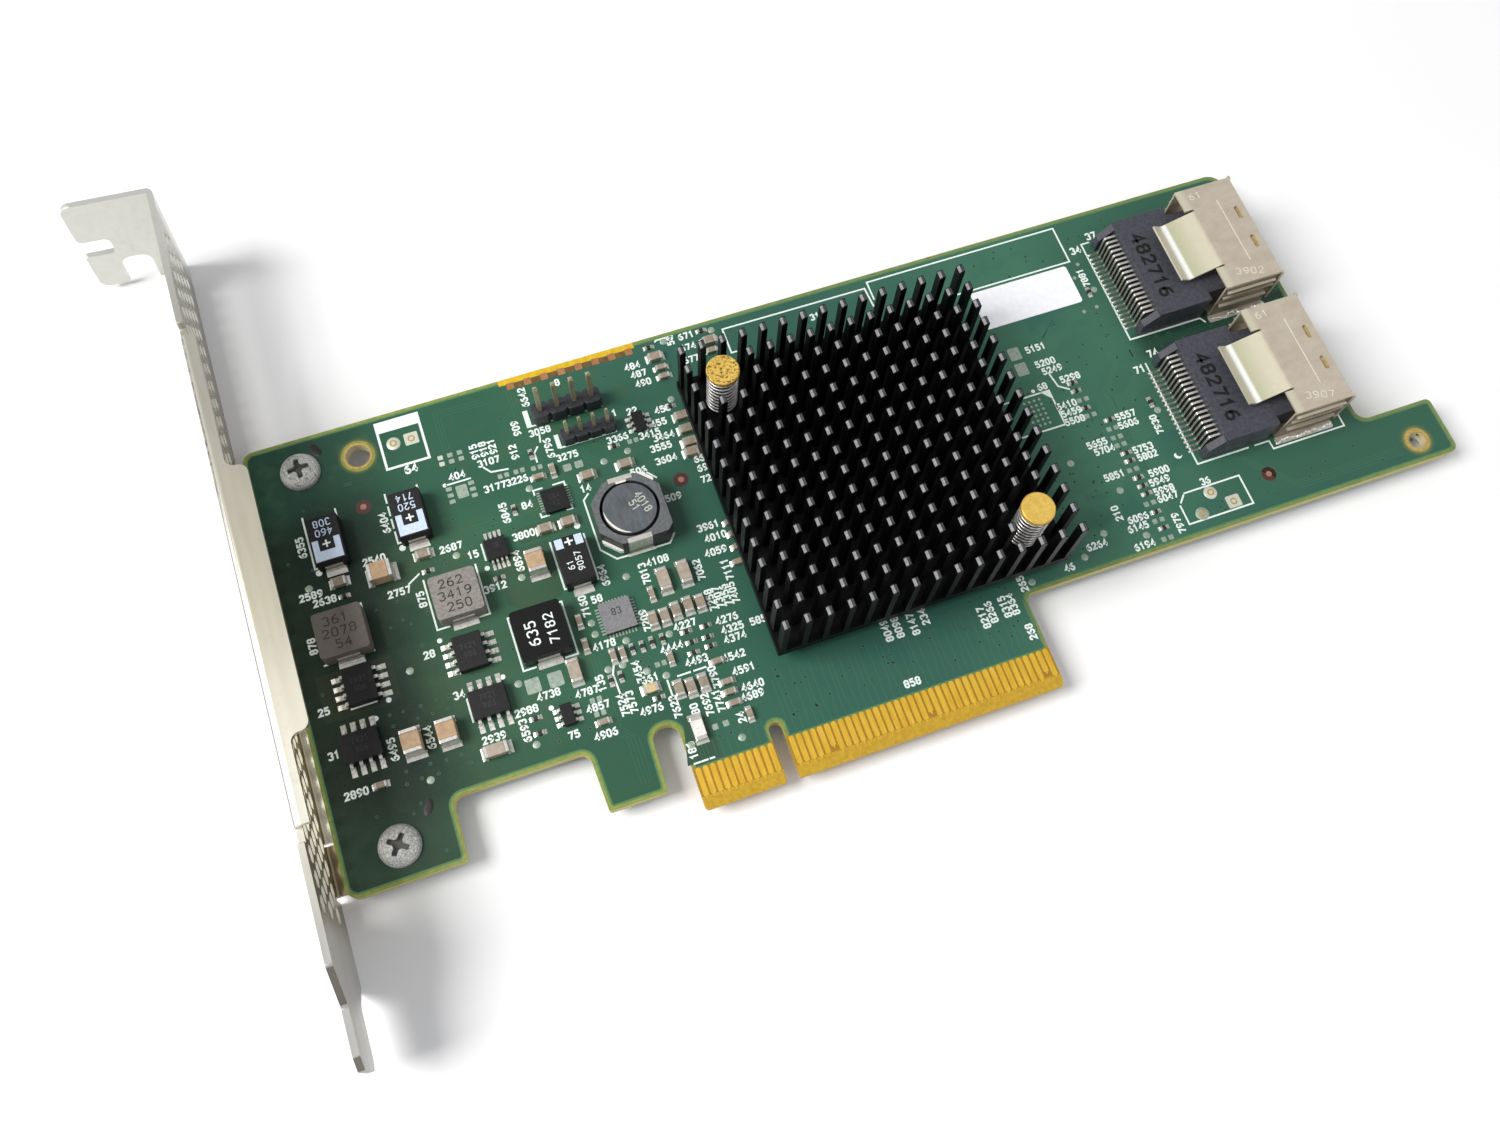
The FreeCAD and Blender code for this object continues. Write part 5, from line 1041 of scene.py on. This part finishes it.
RES_X = [(59.4, 41.8), (59.4, 40.4), (59.5, 37.4), (62.1, 34.5), (62.1, 28.8), (62.1, 27.5), (62.1, 24.7), (62.1, 23.3), (62.1, 22.0), (62.1, 19.0), (62.1, 16.4), (-6.7, 22.1), (-6.9, 23.75), (10.1, 67.5),
         (-4.1, 23.7), (-4.4, 22.1), (-4.4, 20.8), (-6.9, 20.6), (-29.5, 18.8), (-29.5, 16.7), (-13.3, 16.2), (1.8, 67.2), (1.8, 57.0), (-7.8, 53.5), (-28.7, 39.4), (-37.6, 43.5), (-49.2, 43.6)]
RES_Y = [(-14.6, 23.8), (-13.2, 23.7), (-11.8, 23.8), (-10.3, 23.8), (-17.2, 20.6), (-18.6, 20.5), (-19.4, 56.0), (-24.0, 48.5), (69.1, 35.2), (68.4, 55.3)]
for items, ln, wd, ht, ex in ((LARGE, 3.2, 2.5, 1.1, 0.62), (MEDIUM, 3.2, 1.6, 0.95, 0.5), (SMALL, 2.0, 1.25, 0.8, 0.45), (TINY, 1.6, 0.8, 0.6, 0.4)):
    for x, y, ax in items:
        chip_joint(x, y, ln, wd, ht, ax, ex)
for x, y in RES_X:
    chip_joint(x, y, 1.05, 0.6, 0.34, True, 0.34)
for x, y in RES_Y:
    chip_joint(x, y, 1.05, 0.6, 0.34, False, 0.34)
chip_joint(-9.7, 10.4, 3.2, 1.7, 0.8, False, 0.5)
chip_joint(-13.9, 17.7, 2.0, 1.3, 0.6, True, 0.45)
for x, y in ((-49.3, 51.45), (-37.75, 51.57), (-18.26, 37.86)):
    for s in (1, -1):
        fillet(x, y + s * 3.65, 0, s, 2.9, 1.0, 0.85)
for x, y, wy in ((-50.4, 37.9, 6.5), (-34.67, 38.1, 6.3), (-25.44, 29.47, 7.1)):
    for s in (1, -1):
        fillet(x, y + s * (wy / 2 + 0.15), 0, s, 3.6, 1.0, 0.8)
for s in (1, -1):
    fillet(-8.95, 41.95 + s * 5.0, 0, s, 4.0, 0.5, 0.35)
for x, y, sx in ((-50.0, 30.4, True), (-35.2, 30.2, True), (-51.7, 22.5, False), (-34.6, 22.75, False)):
    for i in range(4):
        d = (i - 1.5) * 1.27
        for s in (1, -1):
            if sx:
                fillet(x + s * 3.05, y + d, s, 0, 0.74, 0.3, 0.6)
                joints.box(*sorted((x + s * 2.3, x + s * 3.1)), y + d - 0.34, y + d + 0.34, 0.0, 0.045)
            else:
                fillet(x + d, y + s * 3.05, 0, s, 0.74, 0.3, 0.6)
                joints.box(x + d - 0.34, x + d + 0.34, *sorted((y + s * 2.3, y + s * 3.1)), 0.0, 0.045)
for i in range(4):
    for s in (1, -1):
        fillet(-27.9 + (i - 1.5) * 0.65, 43.5 + s * 2.45, 0, s, 0.46, 0.25, 0.42)
for x, y in ((-25.35, 17.8), (-3.3, 55.9)):
    for i in range(3):
        for s in (1, -1):
            fillet(x + s * 1.4, y + (i - 1) * 0.95, s, 0, 0.62, 0.28, 0.42)
for yc in (54.45, 32.8):
    for i in range(18):
        y = yc + (i - 8.5) * 0.8
        joints.rounded(70.85, 72.9, y - 0.19, y + 0.19, 0.1, 0.0, 0.05, 3)
        joints.dome(71.35, y, 0.42, 0.18, 0.24, 0.02, 10, 3)
    for s in (1, -1):
        joints.rounded(83.8, 93.3, *sorted((yc + s * 8.9, yc + s * 9.95)), 0.3, 0.0, 0.06)
        for k in range(11):
            joints.dome(84.4 + 0.83 * k + rng.uniform(-0.2, 0.2), yc + s * (9.2 + rng.uniform(-0.1, 0.35)), rng.uniform(0.45, 0.8), rng.uniform(0.28, 0.5), rng.uniform(0.16, 0.4), 0.03, 12, 4, rng.uniform(-0.5, 0.5))
for j, (x, y) in enumerate([(-16.3 + 2.54 * i, 61.2) for i in range(4)] + [(-13.65 + 2.0 * i, 56.6) for i in range(4)]):
    a, b = (0.95, 0.32) if j < 4 else (0.78, 0.25)
    joints.lathe(x, y, [(b * 0.6, -BT - 0.85), (b + 0.12, -BT - 0.7), (b + 0.3, -BT - 0.3), (a * 0.8, -BT - 0.1), (a, -BT - 0.02), (a, -BT), (b * 0.6, -BT)])
piece("solder_joints", joints, solder.m)

# ------------------------------------------------------------------ prints on the parts
on_parts, pale_fields, dark_marks = Shape(), Shape(), Shape()
for k, (x, y) in enumerate(((-49.3, 51.45), (-37.75, 51.57))):
    z = 2.85
    pale_fields.prism([(x - 1.9, y - 3.2), (x + 1.9, y - 3.2), (x + 1.9, y - 0.05), (x + 1.05, y - 0.05), (x + 1.05, y - 1.75), (x - 1.05, y - 1.75), (x - 1.05, y - 0.05), (x - 1.9, y - 0.05)], z, z + 0.012)
    on_parts.box(x - 0.55, x + 0.55, y - 0.92, y - 0.68, z, z + 0.014)
    on_parts.box(x - 0.12, x + 0.12, y - 1.35, y - 0.92, z, z + 0.014)
    on_parts.box(x - 0.12, x + 0.12, y - 0.68, y - 0.25, z, z + 0.014)
    digits(pale_fields, ("460", "520")[k], x, y + 0.95, 0.95, 0.85, 0.15, z, z + 0.012, 180)
    digits(pale_fields, ("308", "714")[k], x, y + 2.35, 0.95, 0.85, 0.15, z, z + 0.012, 180)
x, y, z = -18.26, 37.86, 2.85
pale_fields.box(x - 1.95, x - 0.85, y + 1.75, y + 3.25, z, z + 0.012)
pale_fields.box(x + 0.85, x + 1.95, y + 1.75, y + 3.25, z, z + 0.012)
on_parts.box(x - 0.6, x + 0.6, y + 2.4, y + 2.65, z, z + 0.014)
on_parts.box(x - 0.13, x + 0.13, y + 1.95, y + 2.4, z, z + 0.014)
on_parts.box(x - 0.13, x + 0.13, y + 2.65, y + 3.1, z, z + 0.014)
digits(on_parts, "9057", x + 0.6, y - 0.6, 0.8, 0.75, 0.13, z, z + 0.014, 90)
digits(on_parts, "61", x - 0.7, y - 0.9, 0.8, 0.75, 0.13, z, z + 0.014, 90)
digits(on_parts, "635", -26.6, 29.2, 1.35, 1.25, 0.22, 3.0, 3.014, 90)
digits(on_parts, "7182", -24.0, 29.2, 1.2, 1.15, 0.2, 3.0, 3.014, 90)
digits(on_parts, "15", -9.7, 10.4, 0.85, 0.6, 0.13, 0.93, 0.944, 90)
piece("part_print_white", on_parts, ink.m)
piece("part_print_pale", pale_fields, field.m)
for (x, y), rows in (((-50.4, 37.9), ("361", "2078", "54")), ((-34.67, 38.1), ("262", "3419", "250"))):
    for k, t in enumerate(rows):
        digits(dark_marks, t, x + 0.2 * k - 0.3, y + 1.75 - 1.75 * k, 1.15, 1.2, 0.19, 3.0, 3.012)
digits(dark_marks, "83", -15.05, 29.4, 0.9, 0.75, 0.14, 0.9, 0.912)
piece("part_print_dark", dark_marks, ink_dark.m)
grey_marks = Shape()
for x, y, turn in ((-50.0, 30.4, 0), (-35.2, 30.2, 0), (-51.7, 22.5, 0), (-34.6, 22.75, 0)):
    digits(grey_marks, "7421", x, y + 0.75, 0.7, 0.6, 0.1, 1.5, 1.508)
    digits(grey_marks, "906", x, y - 0.45, 0.7, 0.6, 0.1, 1.5, 1.508)
digits(grey_marks, "38", -27.9, 43.9, 0.65, 0.55, 0.09, 1.0, 1.008)
digits(grey_marks, "604", -18.15, 48.4, 0.65, 0.55, 0.09, 0.85, 0.858)
digits(grey_marks, "12", -18.15, 47.4, 0.65, 0.55, 0.09, 0.85, 0.858)
piece("part_print_grey", grey_marks, ink_grey.m)

IX, IY = -8.95, 41.95
# Painted highlight: a pale crescent on the lower left of the core's rim.
rim_highlight = Shape()
arc = [(math.radians(a), 0.02 + 0.3 * math.sin(math.pi * (a - 172) / 86)) for a in range(172, 259, 6)]
rim_highlight.prism([(IX + 3.66 * math.cos(a), IY + 3.66 * math.sin(a)) for a, w in arc] + [(IX + (3.64 - w) * math.cos(a), IY + (3.64 - w) * math.sin(a)) for a, w in reversed(arc)], 4.1, 4.106)
piece("inductor_rim_highlight", rim_highlight, white.m)
core_print = Shape()
digits(core_print, "51", IX + 0.75, IY + 0.2, 1.0, 0.85, 0.17, 4.1, 4.108, -74)
digits(core_print, "4018", IX + 2.05, IY + 0.35, 1.0, 0.85, 0.17, 4.1, 4.108, -74)
piece("inductor_print", core_print, pale_pad.m)


def bar(shape, x0, y0, x1, y1, nx, ny, z0, z1):
    """Straight bar from (x0, y0) to (x1, y1), thick along (nx, ny), with tapered ends."""
    ux, uy = (x1 - x0) * 0.12, (y1 - y0) * 0.12
    pts = [(x0, y0), (x1, y1), (x1 + nx * 0.5, y1 + ny * 0.5), (x1 - ux + nx, y1 - uy + ny), (x0 + ux + nx, y0 + uy + ny), (x0 + nx * 0.5, y0 + ny * 0.5)]
    shape.prism(pts, z0, z1)


wire_ends = Shape()
bar(wire_ends, IX - 4.8, IY - 2.55, IX - 2.5, IY - 4.85, -0.26, -0.26, 1.2, 2.0)
bar(wire_ends, IX + 2.6, IY + 4.7, IX + 4.3, IY + 3.0, 0.3, 0.3, 3.3, 4.02)
wire_ends.box(IX - 0.75, IX + 0.75, IY + 3.98, IY + 4.3, 4.0, 4.06)
piece("inductor_wire_ends", wire_ends, white.m)
moulded_marks = Shape()
for yc in (54.45, 32.8):
    digits(moulded_marks, "482716", 76.85, yc - 0.2, 1.85, 1.95, 0.46, 5.0, 5.012, -90)
piece("housing_digits", moulded_marks, plastic.m)
combs, latches = Shape(), Shape()
for yc in (54.45, 32.8):
    combs.box(72.95, 74.38, yc - 7.3, yc + 7.3, 0.06, 3.5)
    for d in (2.65, -2.65):
        latches.box(91.2, 92.35, yc + d - 1.3, yc + d + 1.3, 7.3, 7.46)
piece("port_combs", combs, comb_black.m)
piece("cage_latches", latches, latch_gold.m)

# ------------------------------------------------------------------ heat sink: cut pin tops, and a painted highlight on the slope beside each top
caps, slopes = Shape(), Shape()
PITCH, CX, CY = 2.96, 24.72, 37.15
PUSH = ((CX - 5.5 * PITCH, CY + 5.5 * PITCH), (CX + 5.5 * PITCH, CY - 5.5 * PITCH))
for i in range(15):
    for j in range(15):
        x, y = CX + (i - 7) * PITCH, CY + (j - 7) * PITCH
        if any(math.hypot(x - px, y - py) < 3.3 for px, py in PUSH):
            continue
        caps.box(x, x + 0.34, y - 0.53, y + 0.53, 13.6, 13.608)
        a = (x - 0.37, 13.3474)
        b = (x - 0.02, 13.5864)
        n = (-0.0045, 0.0066)
        q = [(a[0], a[1]), (b[0], b[1]), (b[0] + n[0], b[1] + n[1]), (a[0] + n[0], a[1] + n[1])]
        v = [(u, y - 0.53, w) for u, w in q] + [(u, y + 0.53, w) for u, w in q]
        slopes.add(v, [(0, 1, 2, 3), (7, 6, 5, 4), (0, 4, 5, 1), (1, 5, 6, 2), (2, 6, 7, 3), (3, 7, 4, 0)])
piece("sink_pin_tops", caps, sink_top.m)
piece("sink_pin_slopes", slopes, slope_highlight.m)

# ------------------------------------------------------------------ ports: score line and small marks on the cages
score = Shape()
for yc in (54.45, 32.8):
    score.box(89.5, 89.62, yc - 5.4, yc + 5.6, 7.8, 7.806)
    digits(score, ("3902", "3907")[yc < 40], 88.6, yc - 7.1, 1.0, 1.15, 0.1, 7.8, 7.806, -14)
    digits(score, "61", 86.7, yc + 7.3, 1.0, 1.1, 0.1, 7.8, 7.806)
piece("cage_scores", score, score_tin.m)

# ------------------------------------------------------------------ stage, light and camera
floor_me = bpy.data.meshes.new("floor")
floor_me.from_pydata([(-3, -3, -0.00386), (3, -3, -0.00386), (3, 3, -0.00386), (-3, 3, -0.00386)], [], [(0, 1, 2, 3)])
floor = bpy.data.objects.new("floor", floor_me)
scene.collection.objects.link(floor)
fm = Mat("floor_white")
fm.color(fm.ramp(fm.noise(0.01, 2.0, 0.5), [(0.3, (245, 245, 245)), (0.7, (249, 249, 249))]))
fm.rough(fm.noise(0.05, 2.0, 0.5), 0.8, 0.95)
fm.fixed(spec=0.1)
floor_me.materials.append(fm.m)

world = bpy.data.worlds.new("studio")
scene.world = world
world.use_nodes = True
wt = world.node_tree
bg = wt.nodes["Background"]
co = wt.nodes.new("ShaderNodeTexCoord")
dot = wt.nodes.new("ShaderNodeVectorMath")
dot.operation = "DOT_PRODUCT"
dot.inputs[1].default_value = Vector((-0.06, 0.36, 0.93)).normalized()
wt.links.new(co.outputs["Generated"], dot.inputs[0])
dark = wt.nodes.new("ShaderNodeMapRange")
dark.interpolation_type = "SMOOTHSTEP"
for k, v in zip(("From Min", "From Max", "To Min", "To Max"), (0.2, 1.0, 0.56, 0.46)):
    dark.inputs[k].default_value = v
wt.links.new(dot.outputs["Value"], dark.inputs["Value"])
wt.links.new(dark.outputs["Result"], bg.inputs["Strength"])
bg.inputs["Color"].default_value = (0.975, 0.985, 1.02, 1.0)


def area_light(name, place, aim, size, watts, color=(1, 1, 1)):
    li = bpy.data.lights.new(name, "AREA")
    li.shape = "RECTANGLE"
    li.size, li.size_y = size
    li.energy = watts
    li.color = color
    ob = bpy.data.objects.new(name, li)
    ob.location = place
    ob.rotation_euler = (Vector(aim) - Vector(place)).to_track_quat("-Z", "Y").to_euler()
    scene.collection.objects.link(ob)
    return ob


area_light("key", (-0.52, 0.10, 0.58), (0.02, 0.035, 0.0), (0.34, 0.42), 6.4, (1.0, 0.99, 0.97))
area_light("fill", (0.55, -0.25, 0.5), (0.02, 0.035, 0.0), (0.5, 0.5), 0.6)

cam_data = bpy.data.cameras.new("photo_view")
cam_data.sensor_fit = "HORIZONTAL"
cam_data.sensor_width = 36.0
cam_data.lens = 30.856
cam_data.clip_start = 0.005
cam_data.clip_end = 20
cam = bpy.data.objects.new("photo_view", cam_data)
right = Vector((0.9415558616628649, -0.33502662872158656, 0.035067326897672516))
down = Vector((-0.3017725923668629, -0.8851666663308544, -0.35413736785731176))
ahead = Vector((0.14968587730471858, 0.3228577563946232, -0.9345357174936371))
rot = Matrix((right, -down, -ahead)).transposed()
cam.matrix_world = Matrix.Translation(Vector((-22.0874, -27.2481, 166.9999)) * MM) @ rot.to_4x4()
scene.collection.objects.link(cam)
scene.camera = cam
scene.view_settings.view_transform = "Standard"
scene.view_settings.look = "None"
